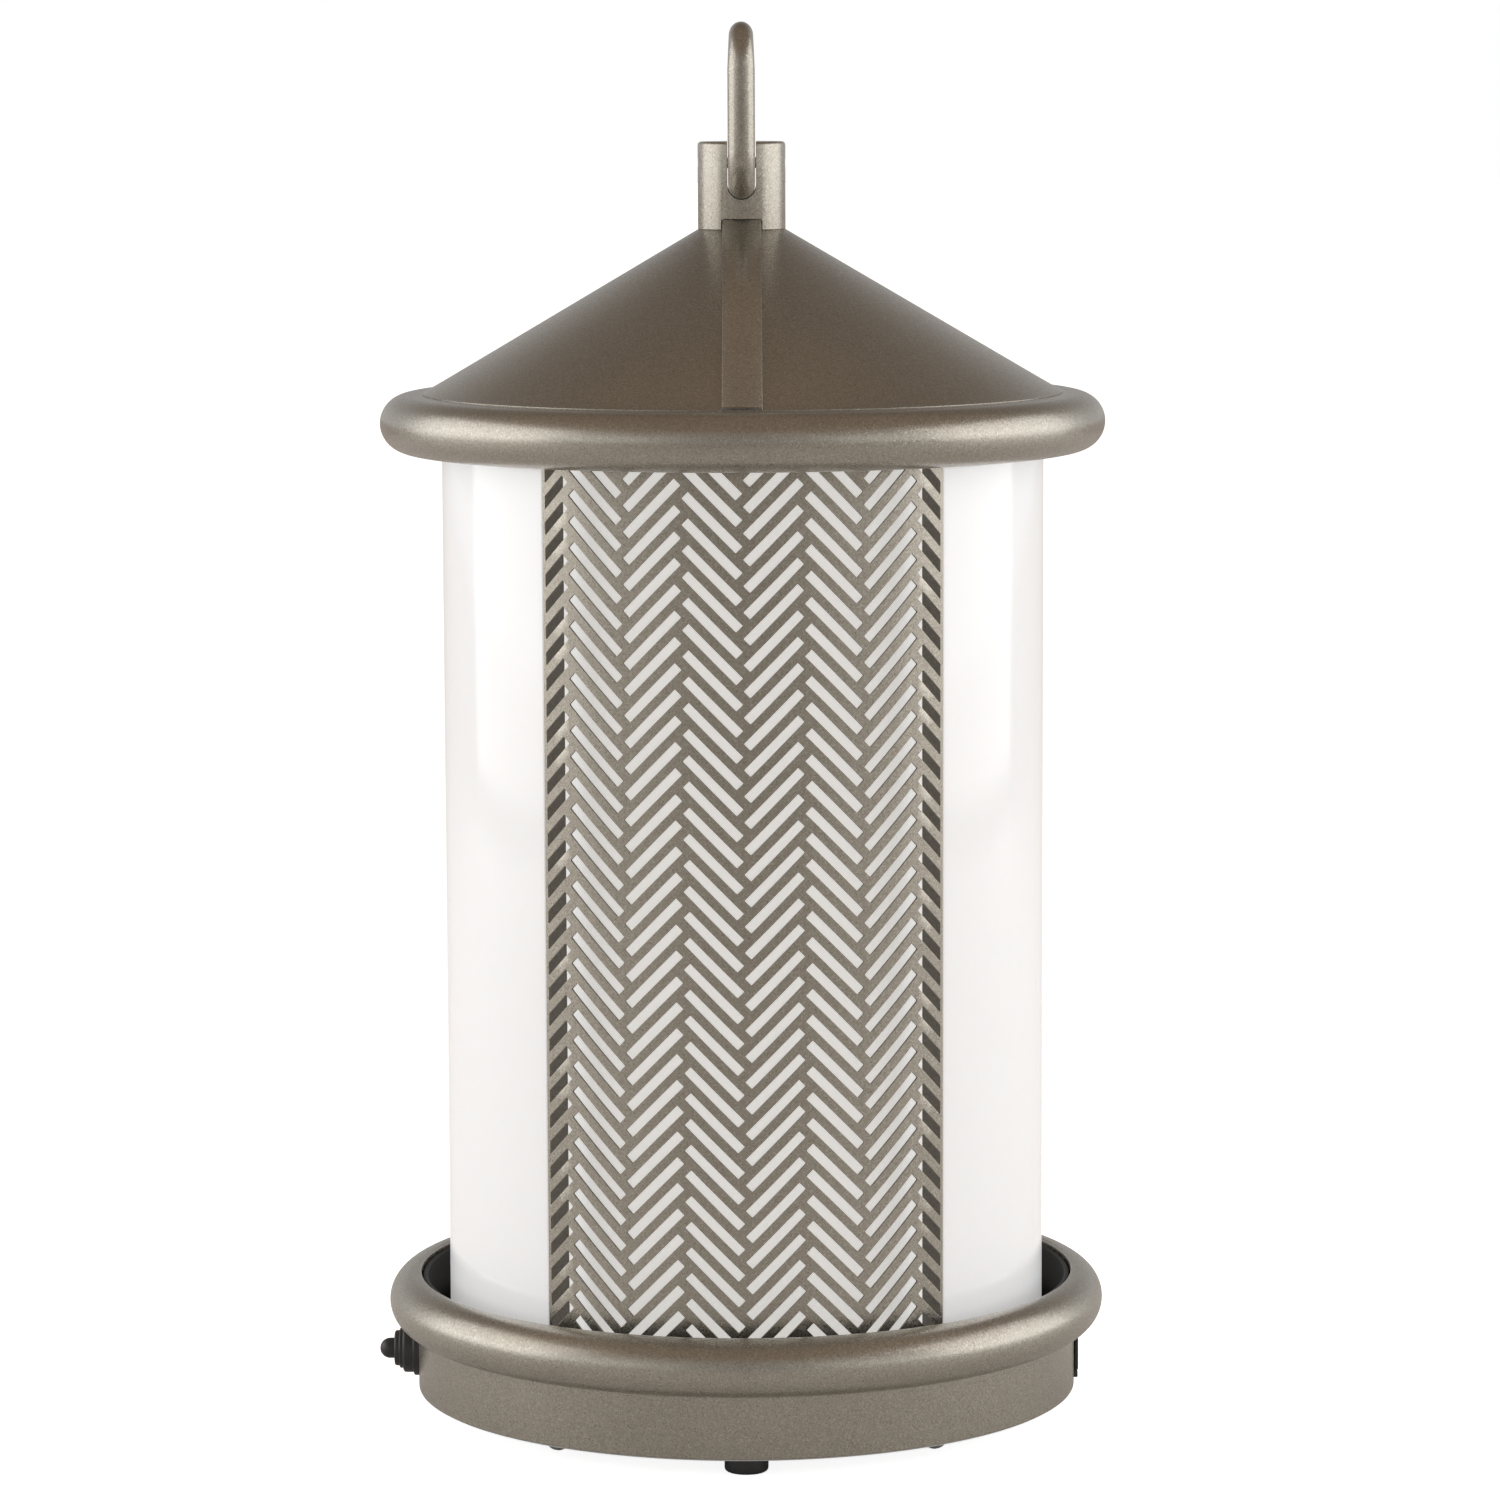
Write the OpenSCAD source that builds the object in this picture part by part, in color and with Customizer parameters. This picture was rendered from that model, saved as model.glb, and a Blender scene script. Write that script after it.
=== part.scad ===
// Lantern-style electric bug zapper. A housing of white shades and herringbone grilles under a
// conical roof drops over a high-voltage cage that stands in a dished base.
// Millimetres. The origin is on the floor under the lantern's axis, +Z is up, the front is -Y.
// Azimuths turn from the front (0) towards +X (90), the rear (180) and -X (270).

/* [Base] */
// Outer radius of the skirt, and of the circle that both beads are rolled about
skirt_r = 109.3; // [108:0.1:112]
// Radius of the half-round beads on the base and the roof
bead_r = 9.3; // [8:0.1:10]
// Height of the lower bead's centre above the floor
base_bead_z = 36.4; // [36:0.1:38]
// Height of the skirt's lower edge above the floor
skirt_z = 6.6; // [6.2:0.1:7]
// Thickness of the pressed sheet metal
sheet = 1.2; // [1:0.1:1.5]

/* [Feet and screws] */
// Diameter of a rubber foot
foot_d = 14; // [10:1:18]
// Height of a rubber foot
foot_h = 6; // [5.5:0.1:6]
// Radius of the circle of feet
foot_circle = 96; // [90:1:98]
// Radius of the circle of base screws
screw_circle = 100; // [99:0.5:100.5]
// Azimuth of the front base screws, mirrored to the other three
screw_az = 37; // [35:1:42]

/* [Panels] */
// Outer radius of the curved grilles
grille_r = 99.5; // [99:0.1:99.8]
// Outer radius of the white shades
shade_r = 98.5; // [98:0.1:98.8]
// Half of the angle that a grille spans
grille_half = 39.5; // [39:0.1:40]
// Depth of a grille's folded side flanges
flange_d = 11; // [8:0.5:11]
// Outer radius of the white liners
liner_r = 84; // [83:0.5:85]
// Thickness of the shades
shade_t = 2; // [1.5:0.1:2.5]

/* [Herringbone] */
// Vertical distance from slot to slot
slot_pitch = 8.24; // [8:0.02:8.4]
// Width of a slot
slot_w = 3; // [2:0.05:3.2]
// Length of a slot
slot_l = 24.1; // [20:0.1:24.2]
// Angle that one column of slots spans
column_a = 11.15; // [11:0.05:11.3]
// Height of the lowest rising slot's centre
slot_start_z = 42.4; // [42:0.1:43]
// Number of slots stacked in a column
slots_high = 35; // [10:1:35]

/* [Roof] */
// Height of the upper bead's centre above the floor
roof_bead_z = 327.5; // [327:0.1:328]
// Rise of the cone for each millimetre of radius
cone_rise = 0.588; // [0.55:0.01:0.6]
// Height that the cone's slope would reach on the axis
cone_peak_z = 398.4; // [398:0.1:399]
// Radius of the cone's lower edge
cone_r = 101.5; // [101:0.1:102]
// Width of a roof strap
strap_w = 12.4; // [10:0.1:13]
// Height of a strap above the cone
strap_t = 2.9; // [2:0.1:3]

/* [Hub and loop] */
// Radius of the hub
hub_r = 14.3; // [14:0.1:15]
// Height of the hub's top above the floor
hub_top_z = 418.4; // [417:0.1:420]
// Diameter of the loop's bar
bar_d = 8.8; // [8:0.1:8.8]
// Height of the loop over its outside
loop_h = 56.9; // [50:0.1:60]
// Width of the loop over its outside, front to back
loop_w = 60; // [58:0.5:64]
// Centreline radius of the loop's four bends
loop_bend = 11; // [9:0.5:14]

/* [Cage and lamp] */
// Radius of the inner ring of live wires
inner_wire_r = 34; // [32:0.5:35]
// Radius of the outer ring of live wires
outer_wire_r = 41.5; // [41:0.5:42]
// Number of wires in each ring
wires = 24; // [12:1:28]
// Diameter of a live wire
wire_d = 1.6; // [1.2:0.1:1.8]
// Height of the underside of the upper insulator
cage_top_z = 286; // [280:1:290]

/* [Hidden] */
$fn = 128;

champagne = "#8f887b";
umber = "#7d7568";
gloss_white = "#f2f2f2";
soft_white = "#dcdcd8";
black = "#1b1b1c";
bright = "#c9c9cc";
steel = "#9a9da1";

slop = 0.01;
gap = 0.3;
press = 0.05;

bead_bottom_z = base_bead_z - bead_r;
bead_top_z = base_bead_z + bead_r;
roof_top_z = roof_bead_z + bead_r;
roof_bottom_z = roof_bead_z - bead_r;

plate_z0 = foot_h;
plate_z1 = plate_z0 + 2;
hem_z1 = plate_z1 + sheet;
hem_in_r = skirt_r - 4;
foot_stem_r = 2.5;
screw_r = 2;
post_r = 4.6;
deck_out_r = skirt_r - sheet - 0.5;
deck_wall_t = 1.7;
deck_in_r = deck_out_r - deck_wall_t;
deck_top_z = bead_top_z - 1.2;
deck_z0 = 24;
deck_z1 = 26;
spigot_r = 79.6;
spigot_top_z = 34;

ring_in_r = spigot_r + 0.4;
lower_ring_z0 = deck_z1 + gap;
panel_z0 = lower_ring_z0 + 4;
panel_z1 = 322;
upper_ring_z1 = panel_z1 + 6;
top_plate_z1 = upper_ring_z1 + 1.6;
rod_circle = 93;
rod_az = 44;
rod_r = 2.5;

tray_in_r = 50.8;
tray_out_r = 75;
tray_top_z = 38;
insulator_r = 49;
insulator_in_r = 20.4;
post_circle = 46;
cage_z0 = 46;
holder_z1 = 40;
cap_w = 34;
cap_d = 20;
cap_z0 = 32;
cap_z1 = 58;
pin_x = 5;
lamp_r = 6;
leg_x = 8.5;
leg_z0 = 50;
leg_z1 = 236;
wire_depth = 3;

edge_margin = 1.5;
band_h = 2.2;
grille_t = 0.8;
liner_t = 1.5;
liner_half = 46;

board_z = 12;
board_t = 1.6;
board_top_z = board_z + board_t;
board_corners = [for (x = [-42, 42]) for (y = [-26, 26]) [x, y]];

switch_z = 17.9;
barrel_r = 5.4;
nut_r = 9.1;
nut_x = -111;
bezel_r = 8.1;
bezel_x = -114.6;
collar_r = 6.7;
collar_x = -115.8;
boot_r = 5.9;
boot_x = -117.5;
boot_bore_r = 3.7;
button_r = 3.4;
button_x = -122.4;
port_z0 = 11.2;
port_h = 12.3;
port_face_x = skirt_r + 1.2;
port_back_x = skirt_r + 0.05;
port_half_w = 7.5;
port_hole_z = port_z0 + port_h / 2;

cone_top_z = cone_peak_z - cone_rise * hub_r;
notch_z = hub_top_z - 13.9;
loop_axis_z = notch_z;
pin_z = loop_axis_z + bar_d / 2 + 2.6;

// A ring of rectangular section
module ring(r_in, r_out, z0, z1) {
  rotate_extrude() translate([r_in, z0]) square([r_out - r_in, z1 - z0]);
}

// A curved slab between two azimuths
module sector(r_in, r_out, z0, z1, az0, az1) {
  rotate([0, 0, az0 - 90])
    rotate_extrude(angle = az1 - az0) translate([r_in, z0]) square([r_out - r_in, z1 - z0]);
}

// Places its children on a circle, facing outwards
module at(az, r) {
  rotate([0, 0, az]) translate([0, -r, 0]) children();
}

// A round rod along X from x0 to x1
module rod_x(r, x0, x1, y, z) {
  translate([x0, y, z]) rotate([0, 90, 0]) cylinder(r = r, h = x1 - x0);
}

// A box given by its lowest corner and its size, centred in Y
module box_y(x0, x1, half_y, z0, z1) {
  translate([x0, -half_y, z0]) cube([x1 - x0, 2 * half_y, z1 - z0]);
}

// Section of the half-round bead: a bent sheet about the point (skirt_r, z)
module bead_section(z) {
  intersection() {
    translate([skirt_r, z]) difference() {
      circle(bead_r);
      circle(bead_r - sheet);
    }
    translate([skirt_r, z - bead_r - 1]) square([bead_r + 1, 2 * bead_r + 2]);
  }
}

// ---- base ----

module base_shell() {
  color(champagne) difference() {
    rotate_extrude() {
      bead_section(base_bead_z);
      translate([skirt_r - sheet, skirt_z]) square([sheet, bead_bottom_z + sheet - skirt_z]);
      translate([skirt_r - sheet, bead_top_z - 4]) square([sheet, 4]);
      translate([hem_in_r, plate_z1]) square([skirt_r - hem_in_r, sheet]);
    }
    rod_x(5.6, -skirt_r - 2, -skirt_r + 5, 0, switch_z);
    rod_x(4.2, skirt_r - 5, skirt_r + 2, 0, port_hole_z);
  }
}

module bottom_plate() {
  color(steel) difference() {
    translate([0, 0, plate_z0]) cylinder(r = skirt_r - sheet - 0.2, h = plate_z1 - plate_z0);
    for (az = [0:90:270]) at(az, foot_circle)
      translate([0, 0, plate_z0 - 1]) cylinder(r = foot_stem_r + press, h = 4);
    for (az = screw_azimuths()) at(az, screw_circle) translate([0, 0, plate_z0 - 1]) cylinder(r = 2.2, h = 4);
    for (x = [-40:10:40]) translate([x - 1.5, -78, plate_z0 - 1]) cube([3, 26, 4]);
  }
}

function screw_azimuths() = [screw_az, 180 - screw_az, 180 + screw_az, 360 - screw_az];

module rubber_feet() {
  r = foot_d / 2;
  z = plate_z0;
  color(black) for (az = [0:90:270]) at(az, foot_circle)
    rotate_extrude() polygon([[0, 0], [r - 0.8, 0], [r, 0.8], [r, z], [foot_stem_r, z],
      [foot_stem_r, plate_z1],
      [3.6, plate_z1], [2.2, plate_z1 + 2.4], [0, plate_z1 + 2.4]]);
}

module bottom_screws() {
  head_r = 4;
  dome_h = 2.6;
  rim_h = 0.6;
  ball_r = (head_r * head_r + dome_h * dome_h) / (2 * dome_h);
  color(bright) for (az = screw_azimuths()) at(az, screw_circle) difference() {
    union() {
      rotate_extrude() intersection() {
        translate([0, plate_z0 - rim_h - dome_h + ball_r]) circle(ball_r);
        translate([0, plate_z0 - rim_h - dome_h]) square([head_r, dome_h]);
      }
      translate([0, 0, plate_z0 - rim_h]) cylinder(r = head_r, h = rim_h);
      translate([0, 0, plate_z0 - slop]) cylinder(r = screw_r, h = 16);
    }
    for (turn = [0, 90]) rotate([0, 0, turn])
      translate([-2, -0.45, plate_z0 - rim_h - dome_h - 1]) cube([4, 0.9, 2.6]);
  }
}

// Floor of the dish, on the four screw posts
module base_deck() {
  color(black) difference() {
    union() {
      ring(20, deck_in_r - 0.1, deck_z0, deck_z1);
      for (az = screw_azimuths()) at(az, screw_circle)
        translate([0, 0, plate_z1]) cylinder(r = post_r, h = deck_z0 - plate_z1 + slop);
    }
    for (az = screw_azimuths()) at(az, screw_circle)
      translate([0, 0, plate_z1 - 1]) cylinder(r = screw_r + press, h = 15.5);
  }
}

module deck_wall() {
  color(black) difference() {
    ring(deck_in_r, deck_out_r, hem_z1, deck_top_z);
    rod_x(5.6, -skirt_r, -skirt_r + 8, 0, switch_z);
    rod_x(4.6, skirt_r - 8, skirt_r, 0, port_hole_z);
  }
}

// Centres the housing on the dish's floor
module locating_ring() {
  color(black) ring(spigot_r - 2.6, spigot_r, deck_z1, spigot_top_z);
}

module catch_tray() {
  wall = 1.4;
  color(steel) rotate_extrude() {
    translate([tray_in_r, deck_z1 + gap]) square([tray_out_r - tray_in_r, wall]);
    translate([tray_in_r, deck_z1 + gap]) square([wall, 7]);
    translate([tray_out_r - wall, deck_z1 + gap]) square([wall, tray_top_z - deck_z1 - gap]);
    translate([tray_out_r - 2 * wall, tray_top_z - wall]) square([2 * wall, wall]);
  }
}

// ---- lamp and live cage ----

module lamp_holder() {
  plug_z0 = 19;
  flange_t = 3;
  color(soft_white) difference() {
    union() {
      translate([0, 0, plug_z0]) cylinder(r = 19.8, h = deck_z1 - plug_z0);
      translate([0, 0, deck_z1]) cylinder(r = 27, h = flange_t);
      translate([0, 0, deck_z1 + flange_t]) cylinder(r = 23, h = holder_z1 - deck_z1 - flange_t);
    }
    translate([-cap_w / 2 - 0.2, -cap_d / 2 - 0.2, cap_z0]) cube([cap_w + 0.4, cap_d + 0.4, 10]);
    for (x = [-pin_x, pin_x]) translate([x, 0, 23]) cylinder(r = 1.3, h = 12);
  }
}

module lamp_cap() {
  color(soft_white) difference() {
    union() {
      translate([-cap_w / 2, -cap_d / 2, cap_z0]) cube([cap_w, cap_d, cap_z1 - cap_z0]);
      translate([-14, -7.5, cap_z1]) cube([28, 15, 3]);
      for (x = [-pin_x, pin_x]) translate([x, 0, cap_z0 - 8]) cylinder(r = 1.2, h = 8 + slop);
    }
    for (x = [-leg_x, leg_x]) translate([x, 0, leg_z0]) cylinder(r = lamp_r + press, h = 20);
  }
}

// Twin tube, bent over at its top
module uv_lamp() {
  color("#b9b4e8", 0.6) {
    for (x = [-leg_x, leg_x]) translate([x, 0, leg_z0]) cylinder(r = lamp_r, h = leg_z1 - leg_z0);
    translate([0, 0, leg_z1]) rotate([90, 0, 0])
      rotate_extrude(angle = 180) translate([leg_x, 0]) circle(lamp_r);
  }
}

module wire_ring(r, z0, z1, radius) {
  for (i = [0:wires - 1]) at(i * 360 / wires, r) translate([0, 0, z0]) cylinder(r = radius, h = z1 - z0);
}

module lower_insulator() {
  color(gloss_white) difference() {
    rotate_extrude() polygon([[insulator_in_r, holder_z1], [46, holder_z1], [49.2, 36.4], [50, 37],
      [insulator_r, cage_z0 - 1], [insulator_r - 2, cage_z0],
      [30, cage_z0 + 2], [insulator_in_r, cage_z0 + 2]]);
    wire_ring(inner_wire_r, cage_z0 - wire_depth, cage_z0 + 5, wire_d / 2 + press);
    wire_ring(outer_wire_r, cage_z0 - wire_depth, cage_z0 + 5, wire_d / 2 + press);
    for (az = [60:120:300]) at(az, post_circle) translate([0, 0, cage_z0 - 5]) cylinder(r = 2 + press, h = 9);
  }
}

module upper_insulator() {
  color(gloss_white) difference() {
    union() {
      ring(24, insulator_r, cage_top_z, cage_top_z + 7);
      ring(24, 30, cage_top_z + 7 - slop, cage_top_z + 10);
    }
    wire_ring(inner_wire_r, cage_top_z - 1, cage_top_z + wire_depth, wire_d / 2 + press);
    wire_ring(outer_wire_r, cage_top_z - 1, cage_top_z + wire_depth, wire_d / 2 + press);
    for (az = [60:120:300]) at(az, post_circle)
      translate([0, 0, cage_top_z - 1]) cylinder(r = 2 + press, h = 6);
  }
}

module cage_posts() {
  color(soft_white) for (az = [60:120:300]) at(az, post_circle)
    translate([0, 0, cage_z0 - 4.9]) cylinder(r = 2, h = cage_top_z - cage_z0 + 9.8);
}

module inner_grid_wires() {
  color(bright) wire_ring(inner_wire_r, cage_z0 - wire_depth + 0.1, cage_top_z + wire_depth - 0.1, wire_d / 2);
}

module outer_grid_wires() {
  color(bright) wire_ring(outer_wire_r, cage_z0 - wire_depth + 0.1, cage_top_z + wire_depth - 0.1, wire_d / 2);
}

// ---- electrics under the deck ----

module power_board() {
  color("#2f6b45") difference() {
    translate([-48, -32, board_z]) cube([96, 64, board_t]);
    for (c = board_corners) translate([c[0], c[1], board_z - 1]) cylinder(r = 1.6, h = 4);
  }
}

module board_spacers() {
  color(soft_white) for (c = board_corners) translate([c[0], c[1], 0]) {
    translate([0, 0, plate_z1]) cylinder(r = 3, h = board_z - plate_z1);
    translate([0, 0, board_z - slop]) cylinder(r = 1.5, h = 3);
  }
}

module hv_transformer() {
  color("#c58b2a") {
    translate([-44, -12, board_top_z]) cube([22, 24, 3]);
    translate([-40, -9, board_top_z + 3 - slop]) cube([14, 18, 3.4]);
    translate([-44, -12, board_top_z + 6.4 - 2 * slop]) cube([22, 24, 2.4]);
  }
}

module hv_capacitors() {
  color("#b5532a") for (y = [-9, 0, 9]) translate([26, y - 3, board_top_z]) cube([16, 6, 9]);
}

module battery_pack() {
  color("#3c5f9e") translate([-38, 36, plate_z1]) cube([76, 34, 11]);
}

module charge_socket() {
  back_x = skirt_r - 10;
  color(black) {
    difference() {
      union() {
        rod_x(4, skirt_r - 12, skirt_r - 0.5, 0, port_hole_z);
        box_y(skirt_r - 16, skirt_r - 3.8, 6, port_hole_z - 5.5, port_hole_z + 5.5);
      }
      rod_x(2.75, back_x, skirt_r + 1, 0, port_hole_z);
    }
    rod_x(1.05, back_x - slop, skirt_r - 1.5, 0, port_hole_z);
  }
}

module port_hinge_strip() {
  color(black) difference() {
    box_y(skirt_r - 2, port_face_x - 0.15, port_half_w, port_z0 - 2.6, port_z0 - gap);
    translate([0, 0, port_z0 - 5]) cylinder(r = skirt_r + 0.1, h = 10);
  }
}

// The cover turns about its round lower edge
module port_cover() {
  corner = 2.5;
  t = port_face_x - port_back_x;
  pivot_z = port_z0 + t / 2;
  top_z = port_z0 + port_h;
  color(black) difference() {
    union() {
      translate([port_back_x, 0, 0]) rotate([90, 0, 90]) linear_extrude(t) {
        translate([-port_half_w, pivot_z]) square([2 * port_half_w, top_z - corner - pivot_z]);
        translate([corner - port_half_w, pivot_z]) square([2 * (port_half_w - corner), top_z - pivot_z]);
        for (y = [corner - port_half_w, port_half_w - corner]) translate([y, top_z - corner]) circle(corner);
      }
      translate([port_back_x + t / 2, port_half_w, pivot_z]) rotate([90, 0, 0])
        cylinder(r = t / 2, h = 2 * port_half_w);
    }
    translate([port_face_x - 0.4, -2.5, top_z - 1.6]) cube([2, 5, 3]);
  }
}

// A flat blade centred on y
module blade(x0, x1, y, half_y, z0, z1) {
  translate([0, y, 0]) box_y(x0, x1, half_y, z0, z1);
}

module switch_body() {
  color(black) difference() {
    union() {
      rod_x(barrel_r, nut_x - 0.4, -102, 0, switch_z);
      box_y(-102 - slop, -86, 6.5, switch_z - 6.4, switch_z + 5.6);
      for (y = [-3, 3]) blade(-86 - slop, -81, y, 0.4, switch_z - 1.5, switch_z + 1.5);
    }
    rod_x(2.3, -112, -104, 0, switch_z);
  }
}

module switch_bezel() {
  color(black) difference() {
    union() {
      rod_x(nut_r, nut_x, -107, 0, switch_z);
      rod_x(bezel_r, bezel_x, nut_x + slop, 0, switch_z);
    }
    rod_x(barrel_r + 0.1, bezel_x - 1, -100, 0, switch_z);
    translate([0, 0, switch_z - 12]) cylinder(r = skirt_r, h = 24);
  }
}

module switch_boot() {
  color(black) difference() {
    union() {
      rod_x(barrel_r + press, bezel_x - slop, nut_x - 0.5, 0, switch_z);
      rod_x(collar_r, collar_x, bezel_x, 0, switch_z);
      rod_x(boot_r, boot_x, collar_x + slop, 0, switch_z);
    }
    rod_x(boot_bore_r, boot_x - 1, -110, 0, switch_z);
  }
}

module switch_button() {
  shoulder_x = -113.6;
  color(black) {
    translate([button_x + button_r, 0, switch_z]) rotate([0, -90, 0]) rotate_extrude() intersection() {
      circle(button_r);
      square([button_r, button_r]);
    }
    rod_x(button_r, button_x + button_r - slop, shoulder_x, 0, switch_z);
    rod_x(2, shoulder_x - slop, -106, 0, switch_z);
  }
}

// ---- lift-off housing ----

function rod_azimuths() = [rod_az, 180 - rod_az, 180 + rod_az, 360 - rod_az];

module rod_holes(z0, z1, r) {
  for (az = rod_azimuths()) at(az, rod_circle) translate([0, 0, z0]) cylinder(r = r, h = z1 - z0);
}

module lower_ring() {
  color(soft_white) difference() {
    union() {
      ring(ring_in_r, grille_r + 0.4, lower_ring_z0, panel_z0);
      ring(ring_in_r, liner_r - liner_t - 0.2, panel_z0 - slop, panel_z0 + 4);
    }
    rod_holes(lower_ring_z0 - 1, panel_z0 + 1, rod_r + press);
    rod_holes(lower_ring_z0 - 1, lower_ring_z0 + 3, 4.6);
  }
}

module upper_ring() {
  color(soft_white) difference() {
    union() {
      ring(ring_in_r, grille_r + 0.4, panel_z1, upper_ring_z1);
      ring(ring_in_r, liner_r - liner_t - 0.2, panel_z1 - 4, panel_z1 + slop);
    }
    rod_holes(panel_z1 - 1, upper_ring_z1 + 1, rod_r + press);
  }
}

module shade(az0, az1) {
  color(gloss_white) sector(shade_r - shade_t, shade_r, panel_z0, panel_z1, az0, az1);
}

module shade_right() {
  shade(grille_half + 0.4, 180 - grille_half - 0.4);
}

module shade_left() {
  shade(180 + grille_half + 0.4, 360 - grille_half - 0.4);
}

// Curved white sheet behind a grille; insects pass round its upright ends in to the cage
module liner(az) {
  color(soft_white) sector(liner_r - liner_t, liner_r, panel_z0, panel_z1, az - liner_half, az + liner_half);
}

module front_liner() {
  liner(0);
}

module rear_liner() {
  liner(180);
}

// One 45 degree slot through the grille; lean is 1 where it falls to the right and -1 where it rises
module slot(az, z, lean) {
  at(az, grille_r) translate([0, 0, z]) rotate([0, lean * 45, 0]) cube([slot_l, 8, slot_w], center = true);
}

// What is left of a slot whose outer end is cut upright at the grille's margin
module edge_slot(az, z, lean) {
  root = 2 * sqrt(2);
  cut = PI * grille_r * (abs(az) - grille_half) / 180 + edge_margin;
  half_band = slot_w / sqrt(2);
  at(az, grille_r) translate([0, 4, z]) rotate([90, 0, 0]) linear_extrude(8) polygon([
    [-lean * cut, cut - half_band], [-lean * (slot_l + slot_w) / root, (slot_l - slot_w) / root],
    [-lean * (slot_l - slot_w) / root, (slot_l + slot_w) / root], [-lean * cut, cut + half_band]]);
}

// The columns alternate in lean, and every second one is half a pitch lower
module slots() {
  for (c = [-4:3]) {
    odd = (c + 4) % 2;
    lean = 2 * odd - 1;
    az = (c + 0.5) * column_a;
    for (k = [0:slots_high - 1]) {
      z = slot_start_z + (k - odd / 2) * slot_pitch;
      if (c == -4 || c == 3) edge_slot(az, z, lean);
      else slot(az, z, lean);
    }
  }
}

// A punched sheet with folded side flanges; plain bands along the top and bottom close the end slots
module grille() {
  difference() {
    sector(grille_r - grille_t, grille_r, panel_z0, panel_z1, -grille_half, grille_half);
    slots();
  }
  for (z = [panel_z0, panel_z1 - band_h])
    sector(grille_r - grille_t, grille_r, z, z + band_h, -grille_half, grille_half);
  for (side = [-1, 1]) intersection() {
    sector(grille_r - flange_d, grille_r - grille_t / 2, panel_z0, panel_z1, -grille_half, grille_half);
    rotate([0, 0, side * grille_half]) translate([side < 0 ? 0 : -grille_t, -grille_r, panel_z0])
      cube([grille_t, flange_d + 1, panel_z1 - panel_z0]);
  }
}

module front_grille() {
  color(champagne) grille();
}

module rear_grille() {
  color(champagne) rotate([0, 0, 180]) grille();
}

module tie_rods() {
  color(steel) for (az = rod_azimuths()) at(az, rod_circle) {
    translate([0, 0, lower_ring_z0 + 0.2]) cylinder(r = 4.4, h = 2.8);
    translate([0, 0, lower_ring_z0 + 3 - slop])
      cylinder(r = rod_r, h = top_plate_z1 + 6.5 - lower_ring_z0 - 3);
  }
}

module tie_rod_nuts() {
  z = top_plate_z1 + sheet;
  color(steel) for (az = rod_azimuths()) at(az, rod_circle) difference() {
    translate([0, 0, z]) cylinder(r = 4.6, h = 4, $fn = 6);
    translate([0, 0, z - 1]) cylinder(r = rod_r + press, h = 6);
  }
}

module top_plate() {
  color(steel) difference() {
    translate([0, 0, upper_ring_z1]) cylinder(r = 98, h = top_plate_z1 - upper_ring_z1);
    rod_holes(upper_ring_z1 - 1, top_plate_z1 + 1, rod_r + press);
    translate([0, 0, upper_ring_z1 - 1]) cylinder(r = 2.5 + press, h = 4);
  }
}

module roof_rim() {
  step_r = 100.2;
  foot_in_r = 87;
  color(champagne) difference() {
    rotate_extrude() {
      bead_section(roof_bead_z);
      translate([step_r - sheet, roof_top_z - sheet]) square([skirt_r - step_r + sheet, sheet]);
      translate([step_r - sheet, top_plate_z1]) square([sheet, roof_top_z - top_plate_z1]);
      translate([foot_in_r, top_plate_z1]) square([step_r - foot_in_r, sheet]);
      translate([101, roof_bottom_z]) square([skirt_r - 101, sheet]);
    }
    rod_holes(top_plate_z1 - 1, top_plate_z1 + 3, rod_r + press);
  }
}

// Height of the cone's outer surface at a radius
function cone_z(r) = cone_peak_z - cone_rise * r;

module roof_cone() {
  color(umber) rotate_extrude() polygon([
    [2.5 + press, cone_top_z], [hub_r, cone_top_z], [cone_r, cone_z(cone_r)], [cone_r, roof_top_z],
    [cone_r - sheet, roof_top_z], [cone_r - sheet, cone_z(cone_r) - 1.4], [hub_r, cone_top_z - 1.4],
    [2.5 + press, cone_top_z - 1.4]]);
}

// A flat strap whose underside is shaped to the cone
module strap() {
  lift = strap_t / cos(atan(cone_rise));
  inner = 11;
  difference() {
    translate([strap_w / 2, 0, 0]) rotate([90, 0, -90]) linear_extrude(strap_w)
      polygon([[inner, cone_z(hub_r) - 2], [inner, cone_z(hub_r) + lift], [hub_r, cone_z(hub_r) + lift],
        [cone_r + 0.4, cone_z(cone_r + 0.4) + lift], [cone_r + 0.4, roof_top_z], [cone_r - 3, roof_top_z]]);
    rotate_extrude() polygon([[0, roof_top_z - 3], [0, cone_top_z], [hub_r, cone_top_z],
      [cone_r, cone_z(cone_r)], [cone_r, roof_top_z - 3]]);
  }
}

module front_strap() {
  color(umber) strap();
}

module rear_strap() {
  color(umber) rotate([0, 0, 180]) strap();
}

module hub() {
  notch_half = 4.7;
  strap_gap = 13.4;
  edge = 1;
  color(champagne) difference() {
    rotate_extrude() {
      translate([0, cone_top_z]) square([hub_r, hub_top_z - edge - cone_top_z]);
      translate([0, hub_top_z - edge - slop]) square([hub_r - edge, edge + slop]);
      translate([hub_r - edge, hub_top_z - edge]) circle(edge);
    }
    translate([-notch_half, -hub_r - 1, notch_z]) cube([2 * notch_half, 2 * hub_r + 2, 20]);
    translate([0, hub_r + 1, notch_z]) rotate([90, 0, 0]) cylinder(r = notch_half, h = 2 * hub_r + 2);
    for (turn = [0, 180]) rotate([0, 0, turn])
      translate([-strap_gap / 2, -hub_r - 1, cone_top_z - 1]) cube([strap_gap, 4.6, 4.6]);
    translate([0, 0, cone_top_z - 1]) cylinder(r = 2.5 + press, h = 8.4);
    rod_x(1.75 + press, -hub_r - 1, hub_r + 1, 0, pin_z);
  }
}

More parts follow.
